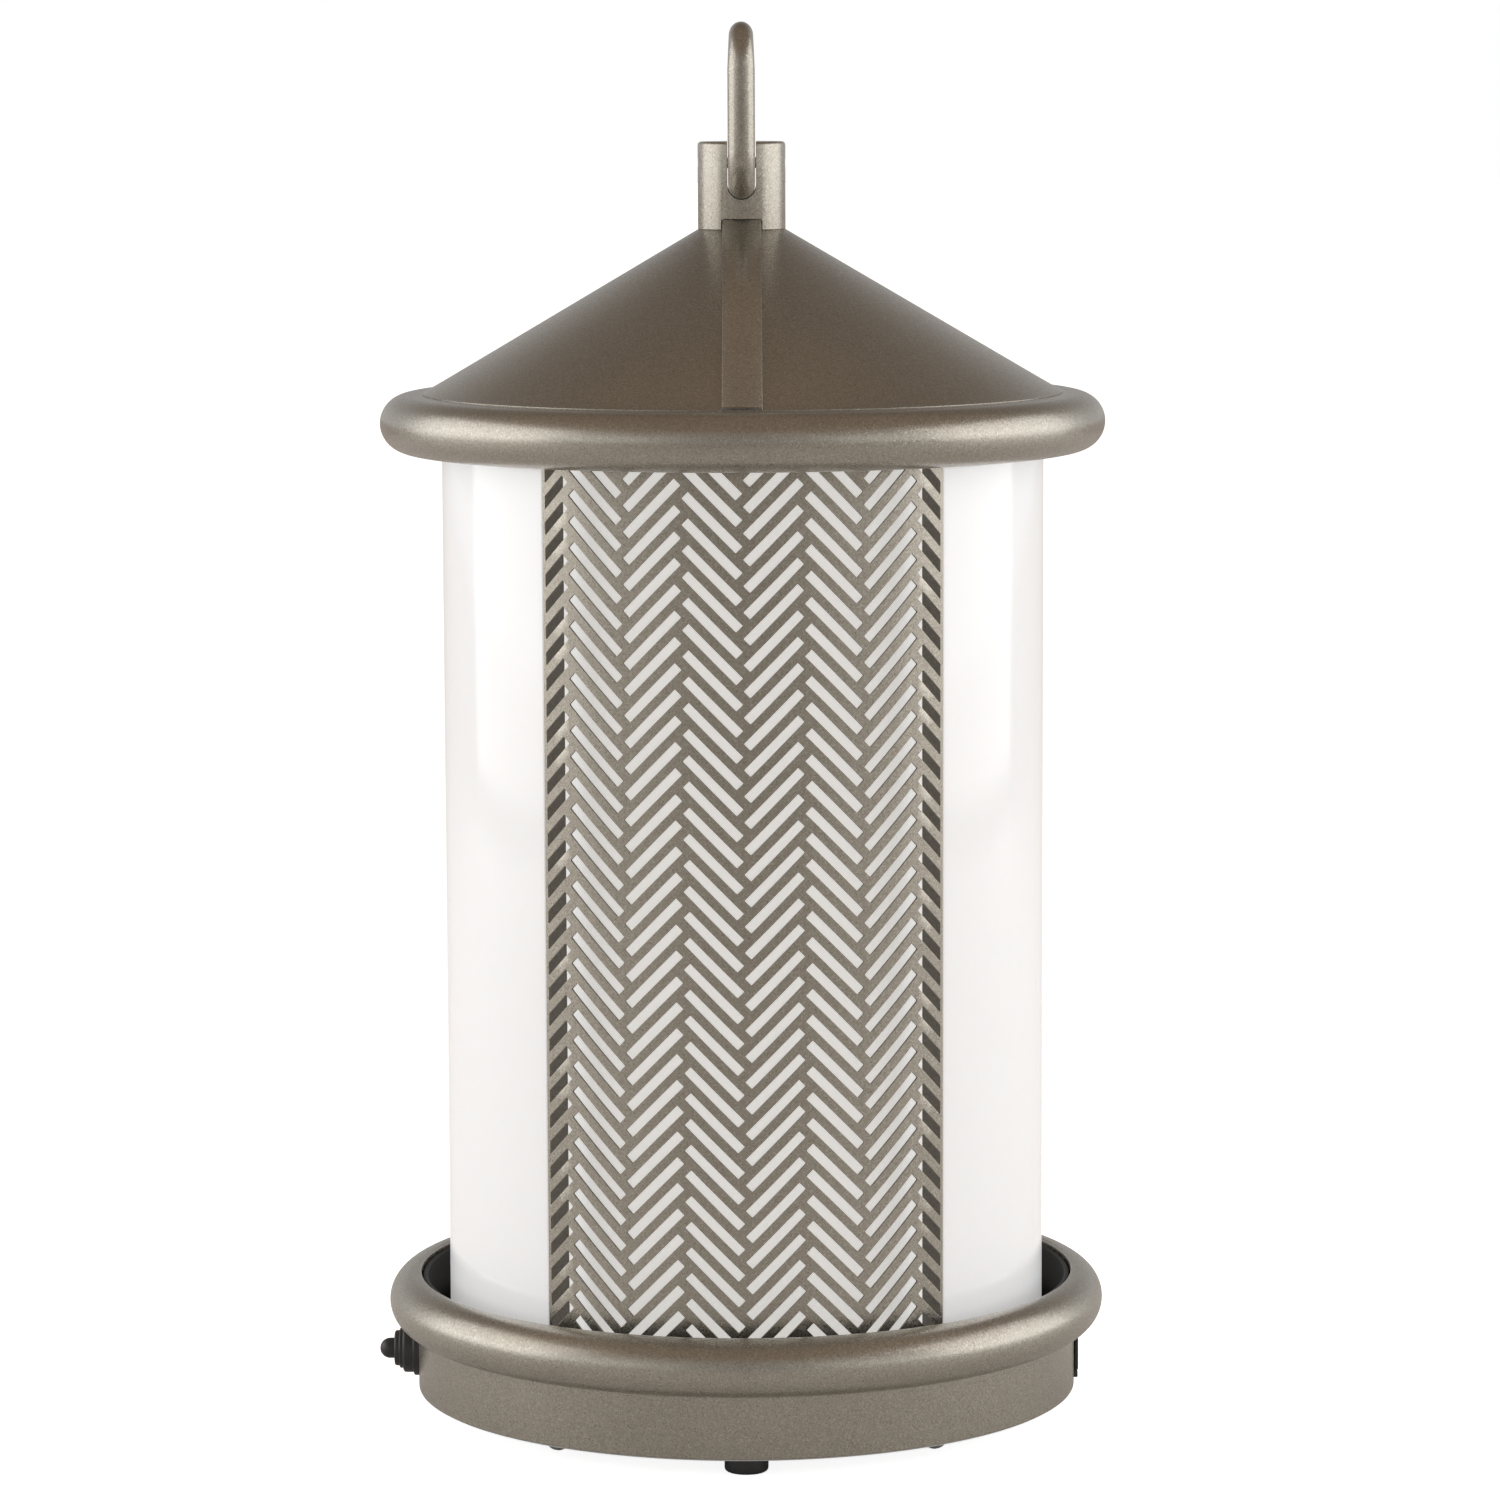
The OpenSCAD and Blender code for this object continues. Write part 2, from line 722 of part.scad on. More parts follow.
module hub_bolt() {
  color(steel) {
    translate([0, 0, upper_ring_z1 - 4]) cylinder(r = 4.6, h = 4, $fn = 6);
    translate([0, 0, upper_ring_z1 - slop]) cylinder(r = 2.5, h = cone_top_z + 7.2 - upper_ring_z1);
  }
}

module loop_pin() {
  color(bright) rod_x(1.75, -hub_r + 0.4, hub_r - 0.4, 0, pin_z);
}

// Closed loop in the YZ plane, turning about its own lower bar
module hanging_loop() {
  half_y = (loop_w - bar_d) / 2;
  height = loop_h - bar_d;
  straight_y = half_y - loop_bend;
  straight_z = height - 2 * loop_bend;
  color(champagne) translate([0, 0, loop_axis_z]) {
    for (z = [0, height]) translate([0, straight_y, z]) rotate([90, 0, 0])
      cylinder(d = bar_d, h = 2 * straight_y);
    for (y = [-half_y, half_y]) translate([0, y, loop_bend]) cylinder(d = bar_d, h = straight_z);
    for (corner = [[1, height - loop_bend, 0], [-1, height - loop_bend, 90],
        [-1, loop_bend, 180], [1, loop_bend, 270]])
      translate([0, corner[0] * straight_y, corner[1]]) rotate([90, 0, 90]) rotate([0, 0, corner[2]])
        rotate_extrude(angle = 90) translate([loop_bend, 0]) circle(d = bar_d);
  }
}

base_shell();
bottom_plate();
rubber_feet();
bottom_screws();
base_deck();
deck_wall();
locating_ring();
catch_tray();
lamp_holder();
lamp_cap();
uv_lamp();
lower_insulator();
upper_insulator();
cage_posts();
inner_grid_wires();
outer_grid_wires();
power_board();
board_spacers();
hv_transformer();
hv_capacitors();
battery_pack();
charge_socket();
port_hinge_strip();
port_cover();
switch_body();
switch_bezel();
switch_boot();
switch_button();
lower_ring();
upper_ring();
shade_left();
shade_right();
front_liner();
rear_liner();
front_grille();
rear_grille();
tie_rods();
tie_rod_nuts();
top_plate();
roof_rim();
roof_cone();
front_strap();
rear_strap();
hub();
hub_bolt();
loop_pin();
hanging_loop();
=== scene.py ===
"""Looks of a lantern-style electric bug zapper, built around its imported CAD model."""

import logging
import math
from dataclasses import dataclass, field
from enum import Enum
from typing import ClassVar, Iterable, Optional, Sequence, Union

import bmesh
import bpy
from mathutils import Matrix, Vector


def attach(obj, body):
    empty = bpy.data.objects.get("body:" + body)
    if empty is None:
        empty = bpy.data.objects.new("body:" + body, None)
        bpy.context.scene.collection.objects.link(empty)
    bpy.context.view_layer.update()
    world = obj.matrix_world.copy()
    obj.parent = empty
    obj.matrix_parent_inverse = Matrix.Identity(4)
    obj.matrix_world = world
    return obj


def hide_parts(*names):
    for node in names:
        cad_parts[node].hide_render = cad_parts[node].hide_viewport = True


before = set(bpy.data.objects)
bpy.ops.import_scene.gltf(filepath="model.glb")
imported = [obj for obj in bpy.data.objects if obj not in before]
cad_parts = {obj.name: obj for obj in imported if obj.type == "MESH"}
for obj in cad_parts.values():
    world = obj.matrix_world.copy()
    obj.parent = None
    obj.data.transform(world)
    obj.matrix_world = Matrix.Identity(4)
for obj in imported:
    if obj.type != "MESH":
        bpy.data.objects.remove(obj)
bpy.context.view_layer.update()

LOG = logging.getLogger("bug_zapper")
MM = 0.001

Color = tuple[float, float, float]
Point2 = tuple[float, float]
Corner = tuple[float, ...]


class Slot(Enum):
    """The record's material slots, each paired with a finish below."""

    PAINT = "champagne_paint"
    ZINC = "zinc_steel"
    RUBBER = "black_rubber"
    CHROME = "chrome_screw"
    BLACK = "black_plastic"
    TRAY = "tray_grey"
    MOULDING = "white_moulding"
    LAMP = "lamp_glass"
    INSULATOR = "glazed_insulator"
    WIRE = "stainless_wire"
    BOARD = "circuit_board"
    TAPE = "transformer_tape"
    FILM = "film_capacitor"
    BATTERY = "battery_wrap"
    SHADE = "white_shade"
    LINER = "white_liner"


class Body(Enum):
    """The CAD bodies that pieces ride on."""

    BASE = "base"
    TRAY = "tray"
    BUTTON = "button"
    FLAP = "port_flap"
    HOUSING = "housing"
    LOOP = "loop"


# ---------------------------------------------------------------- meshes


def arc(center: Point2, radius: float, start: float, end: float, steps: int) -> list[Point2]:
    """Points on an arc.

    Args:
        center: Middle of the circle.
        radius: Radius of the circle.
        start: First angle in degrees.
        end: Last angle in degrees.
        steps: Number of straight steps along the arc.

    Returns:
        The points, first and last included.
    """
    turns = [math.radians(start + (end - start) * i / steps) for i in range(steps + 1)]
    return [(center[0] + radius * math.cos(t), center[1] + radius * math.sin(t)) for t in turns]


def rounded(corners: Sequence[Corner], steps: int = 5) -> list[Point2]:
    """Closed outline whose corners are rounded.

    Args:
        corners: Points (x, y) or (x, y, radius) in order round the outline.
        steps: Number of straight steps in each rounded corner.

    Returns:
        The outline's points.
    """
    outline: list[Point2] = []
    count = len(corners)
    for i, corner in enumerate(corners):
        here = Vector(corner[:2])
        radius = corner[2] if len(corner) > 2 else 0.0
        back = Vector(corners[i - 1][:2]) - here
        ahead = Vector(corners[(i + 1) % count][:2]) - here
        if radius <= 0.0 or back.length < 1e-9 or ahead.length < 1e-9:
            outline.append((here.x, here.y))
            continue
        half = back.angle(ahead) / 2
        reach = min(radius / math.tan(half), 0.49 * back.length, 0.49 * ahead.length)
        radius = reach * math.tan(half)
        begin = here + back.normalized() * reach
        end = here + ahead.normalized() * reach
        middle = here + (back.normalized() + ahead.normalized()).normalized() * (radius / math.sin(half))
        first = begin - middle
        sweep = first.angle_signed(end - middle)
        for step in range(steps + 1):
            turned = first.copy()
            turned.rotate(Matrix.Rotation(-sweep * step / steps, 2))
            outline.append((middle.x + turned.x, middle.y + turned.y))
    return outline


def make_object(name: str, bm: bmesh.types.BMesh) -> bpy.types.Object:
    """Turns a bmesh into a linked object and frees it.

    Args:
        name: Name of the object and of its mesh.
        bm: The mesh data in metres.

    Returns:
        The new object.
    """
    mesh = bpy.data.meshes.new(name)
    bm.to_mesh(mesh)
    bm.free()
    obj = bpy.data.objects.new(name, mesh)
    bpy.context.scene.collection.objects.link(obj)
    return obj


def tidy(obj: bpy.types.Object, sharp: float = 32.0, merge: float = 1e-6) -> bpy.types.Object:
    """Merges doubles, turns faces outwards and shades smooth up to an angle.

    Args:
        obj: A mesh object.
        sharp: Angle in degrees past which an edge stays sharp.
        merge: Distance in metres under which vertices are one.

    Returns:
        The same object.
    """
    bm = bmesh.new()
    bm.from_mesh(obj.data)
    bmesh.ops.remove_doubles(bm, verts=bm.verts, dist=merge)
    bmesh.ops.dissolve_degenerate(bm, edges=bm.edges, dist=merge / 10)
    bmesh.ops.recalc_face_normals(bm, faces=bm.faces)
    bm.to_mesh(obj.data)
    bm.free()
    obj.data.shade_smooth()
    obj.data.set_sharp_from_angle(angle=math.radians(sharp))
    return obj


def lathe(name: str, outline: Sequence[Point2], segments: int = 160) -> bpy.types.Object:
    """Turns a closed outline about the Z axis.

    Args:
        name: Name of the piece.
        outline: Closed outline of (radius, height) in millimetres.
        segments: Number of flats round the axis.

    Returns:
        The turned solid.
    """
    bm = bmesh.new()
    rings = []
    for s in range(segments):
        angle = 2 * math.pi * s / segments
        cos, sin = math.cos(angle), math.sin(angle)
        rings.append([bm.verts.new((r * cos * MM, r * sin * MM, z * MM)) for r, z in outline])
    for s in range(segments):
        here, ahead = rings[s], rings[(s + 1) % segments]
        for i in range(len(outline)):
            j = (i + 1) % len(outline)
            if outline[i][0] < 1e-6 and outline[j][0] < 1e-6:
                continue
            bm.faces.new((here[i], ahead[i], ahead[j], here[j]))
    return tidy(make_object(name, bm))


def prism(name: str, outline: Sequence[Point2], low: float, high: float) -> bpy.types.Object:
    """Raises a closed outline in XY into a solid.

    Args:
        name: Name of the piece.
        outline: Closed outline in millimetres.
        low: Height of the lower face in millimetres.
        high: Height of the upper face in millimetres.

    Returns:
        The solid, with flat ends.
    """
    bm = bmesh.new()
    below = [bm.verts.new((x * MM, y * MM, low * MM)) for x, y in outline]
    above = [bm.verts.new((x * MM, y * MM, high * MM)) for x, y in outline]
    bm.faces.new(below[::-1])
    bm.faces.new(above)
    for i in range(len(outline)):
        j = (i + 1) % len(outline)
        bm.faces.new((below[i], below[j], above[j], above[i]))
    return tidy(make_object(name, bm))


def sweep(name: str, rings: Sequence[Sequence[Vector]], closed: bool) -> bpy.types.Object:
    """Skins a row of equal rings of points.

    Args:
        name: Name of the piece.
        rings: Rings of points in metres.
        closed: Whether the last ring joins the first.

    Returns:
        The skinned solid, with capped ends where it isn't closed.
    """
    bm = bmesh.new()
    loops = [[bm.verts.new(p) for p in ring] for ring in rings]
    size = len(loops[0])
    last = len(loops) if closed else len(loops) - 1
    for k in range(last):
        here, ahead = loops[k], loops[(k + 1) % len(loops)]
        for i in range(size):
            j = (i + 1) % size
            bm.faces.new((here[i], here[j], ahead[j], ahead[i]))
    if not closed:
        bm.faces.new(loops[0][::-1])
        bm.faces.new(loops[-1])
    return tidy(make_object(name, bm))


def place(obj: bpy.types.Object, matrix: Matrix) -> bpy.types.Object:
    """Moves a piece's mesh, so that its object stays at the origin."""
    obj.data.transform(matrix)
    obj.data.update()
    return obj


def shift(x: float, y: float, z: float) -> Matrix:
    """Translation by millimetres."""
    return Matrix.Translation((x * MM, y * MM, z * MM))


def turn(degrees: float, axis: str) -> Matrix:
    """Rotation about a row axis."""
    return Matrix.Rotation(math.radians(degrees), 4, axis)


def rear_twin(front: bpy.types.Object, name: str) -> bpy.types.Object:
    """A copy of a front piece, turned half round to the rear."""
    rear = bpy.data.objects.new(name, front.data.copy())
    bpy.context.scene.collection.objects.link(rear)
    return place(rear, turn(180, "Z"))


def baked(obj: bpy.types.Object, sharp: float = 32.0) -> bpy.types.Object:
    """Applies an object's modifiers, so that only a plain mesh is left.

    Args:
        obj: The object with live modifiers.
        sharp: Angle in degrees past which an edge stays sharp.

    Returns:
        The same object, without modifiers.
    """
    graph = bpy.context.evaluated_depsgraph_get()
    mesh = bpy.data.meshes.new_from_object(obj.evaluated_get(graph))
    obj.modifiers.clear()
    old, obj.data = obj.data, mesh
    bpy.data.meshes.remove(old)
    mesh.name = obj.name
    mesh.shade_smooth()
    mesh.set_sharp_from_angle(angle=math.radians(sharp))
    return obj


def cut(obj: bpy.types.Object, cutters: Iterable[bpy.types.Object]) -> bpy.types.Object:
    """Takes other solids out of a piece and deletes them."""
    tools = list(cutters)
    for tool in tools:
        step = obj.modifiers.new("cut", "BOOLEAN")
        step.operation = "DIFFERENCE"
        step.solver = "EXACT"
        step.object = tool
    baked(obj)
    for tool in tools:
        drop(tool)
    return obj


def drop(obj: bpy.types.Object) -> None:
    """Deletes an object and its mesh."""
    mesh = obj.data
    bpy.data.objects.remove(obj)
    bpy.data.meshes.remove(mesh)


def bevelled(obj: bpy.types.Object, width: float, segments: int = 2, angle: float = 40.0) -> bpy.types.Object:
    """Rounds a piece's sharp edges.

    Args:
        obj: The piece.
        width: Width of the bevel in millimetres.
        segments: Number of flats across it.
        angle: Angle in degrees past which an edge is bevelled.

    Returns:
        The same piece, with a plain mesh.
    """
    step = obj.modifiers.new("edges", "BEVEL")
    step.width = width * MM
    step.segments = segments
    step.limit_method = "ANGLE"
    step.angle_limit = math.radians(angle)
    step.use_clamp_overlap = True
    return baked(obj, 50.0)


def joined(name: str, parts: Sequence[bpy.types.Object], sharp: float = 40.0) -> bpy.types.Object:
    """Makes one piece of several meshes.

    Args:
        name: Name of the joined piece.
        parts: The meshes, which are deleted.
        sharp: Angle in degrees past which an edge stays sharp.

    Returns:
        The joined piece.
    """
    bm = bmesh.new()
    for part in parts:
        bm.from_mesh(part.data)
    for part in parts:
        drop(part)
    obj = make_object(name, bm)
    obj.data.shade_smooth()
    obj.data.set_sharp_from_angle(angle=math.radians(sharp))
    return obj


# ---------------------------------------------------------------- node trees


SocketValue = Union[float, int, bool, str, tuple, bpy.types.NodeSocket, bpy.types.Object, bpy.types.Material]


class TreeBuilder:
    """Adds nodes to a node tree and joins their sockets."""

    def __init__(self, tree: bpy.types.NodeTree) -> None:
        """Keeps the tree that nodes are added to."""
        self.tree = tree

    def add(self, kind: str, inputs: Optional[dict] = None, **props: object) -> bpy.types.Node:
        """Adds one node.

        Args:
            kind: The node's type name.
            inputs: Socket name or index to a value or to the socket that feeds it.
            **props: Attributes of the node, set first.

        Returns:
            The new node.
        """
        node = self.tree.nodes.new(kind)
        for key, value in props.items():
            setattr(node, key, value)
        for key, value in (inputs or {}).items():
            socket = node.inputs[key]
            if isinstance(value, bpy.types.NodeSocket):
                self.tree.links.new(value, socket)
            else:
                socket.default_value = value
        return node

    def math(self, operation: str, a: SocketValue, b: SocketValue = 0.0) -> bpy.types.NodeSocket:
        """One arithmetic node, and its result."""
        return self.add("ShaderNodeMath", {0: a, 1: b}, operation=operation).outputs[0]

    def vector(self, x: SocketValue, y: SocketValue, z: SocketValue) -> bpy.types.NodeSocket:
        """A vector made of three values."""
        return self.add("ShaderNodeCombineXYZ", {0: x, 1: y, 2: z}).outputs[0]


class GeometryTree(TreeBuilder):
    """A Geometry Nodes tree with named inputs, run once to give a plain mesh."""

    def __init__(self, name: str) -> None:
        """Starts an empty tree with a geometry output."""
        tree = bpy.data.node_groups.new(name, "GeometryNodeTree")
        tree.interface.new_socket("Geometry", in_out="OUTPUT", socket_type="NodeSocketGeometry")
        super().__init__(tree)
        self.entry = tree.nodes.new("NodeGroupInput")
        self.values: dict[str, object] = {}

    def input(self, name: str, kind: str, value: object) -> bpy.types.NodeSocket:
        """Adds a named input.

        Args:
            name: The input's name.
            kind: Float, Int, Vector, Object or Material.
            value: What the modifier sets it to.

        Returns:
            The socket inside the tree.
        """
        item = self.tree.interface.new_socket(name, in_out="INPUT", socket_type=f"NodeSocket{kind}")
        self.values[item.identifier] = value
        return self.entry.outputs[name]

    def join(self, *geometry: bpy.types.NodeSocket) -> bpy.types.NodeSocket:
        """Joins several geometries into one."""
        node = self.tree.nodes.new("GeometryNodeJoinGeometry")
        for socket in geometry:
            self.tree.links.new(socket, node.inputs[0])
        return node.outputs[0]

    def finish(self, geometry: bpy.types.NodeSocket, material: bpy.types.NodeSocket) -> None:
        """Ends the tree in Realize Instances and Set Material."""
        real = self.add("GeometryNodeRealizeInstances", {"Geometry": geometry})
        dressed = self.add("GeometryNodeSetMaterial", {"Geometry": real.outputs[0], "Material": material})
        self.add("NodeGroupOutput", {"Geometry": dressed.outputs[0]})

    def run(self, name: str, sharp: float = 32.0) -> bpy.types.Object:
        """Evaluates the tree.

        Args:
            name: Name of the piece.
            sharp: Angle in degrees past which an edge stays sharp.

        Returns:
            The result as a plain mesh object.
        """
        obj = bpy.data.objects.new(name, bpy.data.meshes.new(name))
        bpy.context.scene.collection.objects.link(obj)
        modifier = obj.modifiers.new("nodes", "NODES")
        modifier.node_group = self.tree
        for identifier, value in self.values.items():
            modifier[identifier] = value
        return baked(obj, sharp)


def ring_of(name: str, piece: bpy.types.Object, azimuths: Sequence[float], radius: float,
            material: bpy.types.Material) -> bpy.types.Object:
    """Sets copies of a piece round the axis by Geometry Nodes.

    Args:
        name: Name of the result.
        piece: The piece, modelled at the front's side of the origin; it is deleted.
        azimuths: First azimuth, step to the next, and number of copies.
        radius: Radius of the circle in millimetres.
        material: Finish of the copies.

    Returns:
        One plain mesh with every copy.
    """
    start, step, count = azimuths
    tree = GeometryTree(f"{name}_ring")
    source = tree.input("Piece", "Object", piece)
    number = tree.input("Count", "Int", int(count))
    reach = tree.input("Radius", "Float", radius * MM)
    first = tree.input("First azimuth", "Float", math.radians(start))
    spacing = tree.input("Step", "Float", math.radians(step))
    finish = tree.input("Finish", "Material", material)
    points = tree.add("GeometryNodePoints", {"Count": number})
    index = tree.add("GeometryNodeInputIndex").outputs[0]
    angle = tree.math("ADD", first, tree.math("MULTIPLY", index, spacing))
    x = tree.math("MULTIPLY", reach, tree.math("SINE", angle))
    y = tree.math("MULTIPLY", tree.math("MULTIPLY", reach, -1.0), tree.math("COSINE", angle))
    spot = tree.add("GeometryNodeSetPosition", {"Geometry": points.outputs[0], "Position": tree.vector(x, y, 0.0)})
    facing = tree.add("FunctionNodeEulerToRotation", {0: tree.vector(0.0, 0.0, angle)}).outputs[0]
    shape = tree.add("GeometryNodeObjectInfo", {"Object": source})
    copies = tree.add("GeometryNodeInstanceOnPoints", {
        "Points": spot.outputs[0], "Instance": shape.outputs["Geometry"], "Rotation": facing})
    tree.finish(copies.outputs[0], finish)
    result = tree.run(name)
    drop(piece)
    return result


# ---------------------------------------------------------------- finishes


def shader_group(name: str, inputs: dict[str, tuple[str, object]], outputs: dict[str, str]) -> TreeBuilder:
    """Starts a shader node group with named sockets.

    Args:
        name: Name of the group.
        inputs: Input name to socket kind and default value.
        outputs: Output name to socket kind.

    Returns:
        A builder on the new group.
    """
    tree = bpy.data.node_groups.new(name, "ShaderNodeTree")
    for key, (kind, value) in inputs.items():
        tree.interface.new_socket(key, in_out="INPUT", socket_type=f"NodeSocket{kind}").default_value = value
    for key, kind in outputs.items():
        tree.interface.new_socket(key, in_out="OUTPUT", socket_type=f"NodeSocket{kind}")
    return TreeBuilder(tree)


def flake_group() -> bpy.types.NodeTree:
    """Metallic paint: tiny flakes of their own tone and tilt over a soft orange peel.

    Returns:
        A group with Color, Roughness and Normal outputs.
    """
    b = shader_group("flake_paint", {
        "Base": ("Color", (0.4, 0.37, 0.32, 1)), "Bright": ("Color", (0.6, 0.57, 0.5, 1)),
        "Dark": ("Color", (0.2, 0.18, 0.15, 1)), "Flakes per metre": ("Float", 2600.0),
        "Roughness": ("Float", 0.36), "Tilt": ("Float", 0.2), "Peel": ("Float", 0.06),
    }, {"Color": "Color", "Roughness": "Float", "Normal": "Vector"})
    entry = b.add("NodeGroupInput").outputs
    place_at = b.add("ShaderNodeTexCoord").outputs["Object"]
    cells = b.add("ShaderNodeTexVoronoi", {"Vector": place_at, "Scale": entry["Flakes per metre"]})
    parts = b.add("ShaderNodeSeparateXYZ", {0: cells.outputs["Color"]}).outputs
    lit = b.add("ShaderNodeMapRange", {"Value": parts[0], "From Min": 0.72, "From Max": 1.0}).outputs[0]
    dim = b.add("ShaderNodeMapRange", {"Value": parts[1], "From Min": 0.7, "From Max": 1.0}).outputs[0]
    cloud = b.add("ShaderNodeTexNoise", {"Vector": place_at, "Scale": 22.0, "Detail": 3.0}).outputs["Fac"]
    dark = b.add("ShaderNodeMix", {"Factor": dim, 6: entry["Base"], 7: entry["Dark"]}, data_type="RGBA")
    toned = b.add("ShaderNodeMix", {"Factor": lit, 6: dark.outputs[2], 7: entry["Bright"]}, data_type="RGBA")
    shade = b.add("ShaderNodeMapRange", {"Value": cloud, "From Min": 0.3, "From Max": 0.7,
                                         "To Min": 0.96, "To Max": 1.04}).outputs[0]
    color = b.add("ShaderNodeVectorMath", {0: toned.outputs[2], 1: shade}, operation="MULTIPLY").outputs[0]
    rough = b.math("ADD", entry["Roughness"], b.math("MULTIPLY", b.math("SUBTRACT", parts[2], 0.5), 0.16))
    peel = b.add("ShaderNodeTexNoise", {"Vector": place_at, "Scale": 420.0, "Detail": 2.0}).outputs["Fac"]
    bump = b.add("ShaderNodeBump", {"Strength": entry["Peel"], "Distance": 0.0002, "Height": peel}).outputs[0]
    centred = b.add("ShaderNodeVectorMath", {0: cells.outputs["Color"], 1: (0.5, 0.5, 0.5)},
                    operation="SUBTRACT").outputs[0]
    leaning = b.add("ShaderNodeVectorMath", {0: centred, "Scale": entry["Tilt"]}, operation="SCALE").outputs[0]
    normal = b.add("ShaderNodeVectorMath", {0: bump, 1: leaning}, operation="ADD").outputs[0]
    unit = b.add("ShaderNodeVectorMath", {0: normal}, operation="NORMALIZE").outputs[0]
    b.add("NodeGroupOutput", {"Color": color, "Roughness": rough, "Normal": unit})
    return b.tree


def surface_group() -> bpy.types.NodeTree:
    """Moulded or drawn surface: a slow change of tone over a fine grain.

    Returns:
        A group with Color, Roughness and Normal outputs.
    """
    b = shader_group("fine_surface", {
        "Tone": ("Color", (0.5, 0.5, 0.5, 1)), "Variation": ("Float", 0.04), "Roughness": ("Float", 0.4),
        "Roughness change": ("Float", 0.06), "Grain per metre": ("Float", 1500.0), "Grain": ("Float", 0.1),
        "Stretch": ("Vector", (1.0, 1.0, 1.0)),
    }, {"Color": "Color", "Roughness": "Float", "Normal": "Vector"})
    entry = b.add("NodeGroupInput").outputs
    place_at = b.add("ShaderNodeTexCoord").outputs["Object"]
    drawn = b.add("ShaderNodeVectorMath", {0: place_at, 1: entry["Stretch"]}, operation="MULTIPLY").outputs[0]
    cloud = b.add("ShaderNodeTexNoise", {"Vector": place_at, "Scale": 30.0, "Detail": 4.0}).outputs["Fac"]
    swing = b.math("SUBTRACT", cloud, 0.5)
    gain = b.math("ADD", 1.0, b.math("MULTIPLY", swing, b.math("MULTIPLY", entry["Variation"], 4.0)))
    color = b.add("ShaderNodeVectorMath", {0: entry["Tone"], 1: gain}, operation="MULTIPLY").outputs[0]
    grain = b.add("ShaderNodeTexNoise", {"Vector": drawn, "Scale": entry["Grain per metre"], "Detail": 2.0})
    mixed = b.math("MULTIPLY", b.math("SUBTRACT", grain.outputs["Fac"], 0.5), entry["Roughness change"])
    rough = b.math("ADD", entry["Roughness"], b.math("ADD", mixed, b.math("MULTIPLY", swing,
                                                                            entry["Roughness change"])))
    bump = b.add("ShaderNodeBump", {"Strength": entry["Grain"], "Distance": 0.0001,
                                    "Height": grain.outputs["Fac"]}).outputs[0]
    b.add("NodeGroupOutput", {"Color": color, "Roughness": rough, "Normal": bump})
    return b.tree


FLAKE = flake_group()
SURFACE = surface_group()


def opaque(color: Color) -> tuple[float, float, float, float]:
    """The colour with full alpha."""
    return (*color, 1.0)


@dataclass(frozen=True)
class FlakePaint:
    """Metallic paint with visible flakes."""

    name: str
    base: Color
    bright: Color
    dark: Color
    roughness: float = 0.33
    tilt: float = 0.06
    coat: float = 0.4

    def material(self) -> bpy.types.Material:
        """Builds the material.

        Returns:
            The new material.
        """
        return grouped_material(self.name, FLAKE, {
            "Base": opaque(self.base), "Bright": opaque(self.bright), "Dark": opaque(self.dark),
            "Roughness": self.roughness, "Tilt": self.tilt,
        }, {"Metallic": 0.85, "Coat Weight": self.coat, "Coat Roughness": 0.25})


@dataclass(frozen=True)
class Plain:
    """A plastic, rubber, metal or glass finish with fine grain."""

    name: str
    tone: Color
    roughness: float = 0.4
    metallic: float = 0.0
    variation: float = 0.03
    roughness_change: float = 0.08
    grain_scale: float = 1500.0
    grain: float = 0.1
    stretch: Color = (1.0, 1.0, 1.0)
    specular: float = 0.5
    coat: float = 0.0
    transmission: float = 0.0
    subsurface: float = 0.0
    ior: float = 1.5
    glow: Optional[Color] = None
    glow_strength: float = 0.0

    def material(self) -> bpy.types.Material:
        """Builds the material.

        Returns:
            The new material.
        """
        uniform = {"Metallic": self.metallic, "Specular IOR Level": self.specular, "Coat Weight": self.coat,
                   "Coat Roughness": 0.08, "Transmission Weight": self.transmission, "IOR": self.ior,
                   "Subsurface Weight": self.subsurface, "Subsurface Scale": 0.002}
        if self.glow:
            uniform |= {"Emission Color": opaque(self.glow), "Emission Strength": self.glow_strength}
        return grouped_material(self.name, SURFACE, {
            "Tone": opaque(self.tone), "Variation": self.variation, "Roughness": self.roughness,
            "Roughness change": self.roughness_change, "Grain per metre": self.grain_scale,
            "Grain": self.grain, "Stretch": self.stretch}, uniform)


def blank_material(name: str) -> tuple[bpy.types.Material, TreeBuilder, bpy.types.Node]:
    """A material with only its shader and output.

    Args:
        name: Name of the material.

    Returns:
        The material, a builder on its tree and the Principled shader.
    """
    mat = bpy.data.materials.new(name)
    mat.use_nodes = True
    mat.node_tree.nodes.clear()
    b = TreeBuilder(mat.node_tree)
    shader = b.add("ShaderNodeBsdfPrincipled")
    b.add("ShaderNodeOutputMaterial", {"Surface": shader.outputs[0]})
    return mat, b, shader


def grouped_material(name: str, tree: bpy.types.NodeTree, inputs: dict[str, object],
                     uniform: dict[str, object]) -> bpy.types.Material:
    """A material whose colour, roughness and normal come from a node group.

    Args:
        name: Name of the material.
        tree: The node group.
        inputs: Values of the group's inputs.
        uniform: Values set directly on the shader.

    Returns:
        The new material.
    """
    mat, b, shader = blank_material(name)
    group = b.add("ShaderNodeGroup", node_tree=tree)
    for key, value in inputs.items():
        group.inputs[key].default_value = value
    for key, value in uniform.items():
        shader.inputs[key].default_value = value
    for key, socket in (("Color", "Base Color"), ("Roughness", "Roughness"), ("Normal", "Normal")):
        b.tree.links.new(group.outputs[key], shader.inputs[socket])
    return mat


@dataclass(frozen=True)
class Finish:
    """A material and the record's slot that it shows."""

    slot: Slot
    material: bpy.types.Material


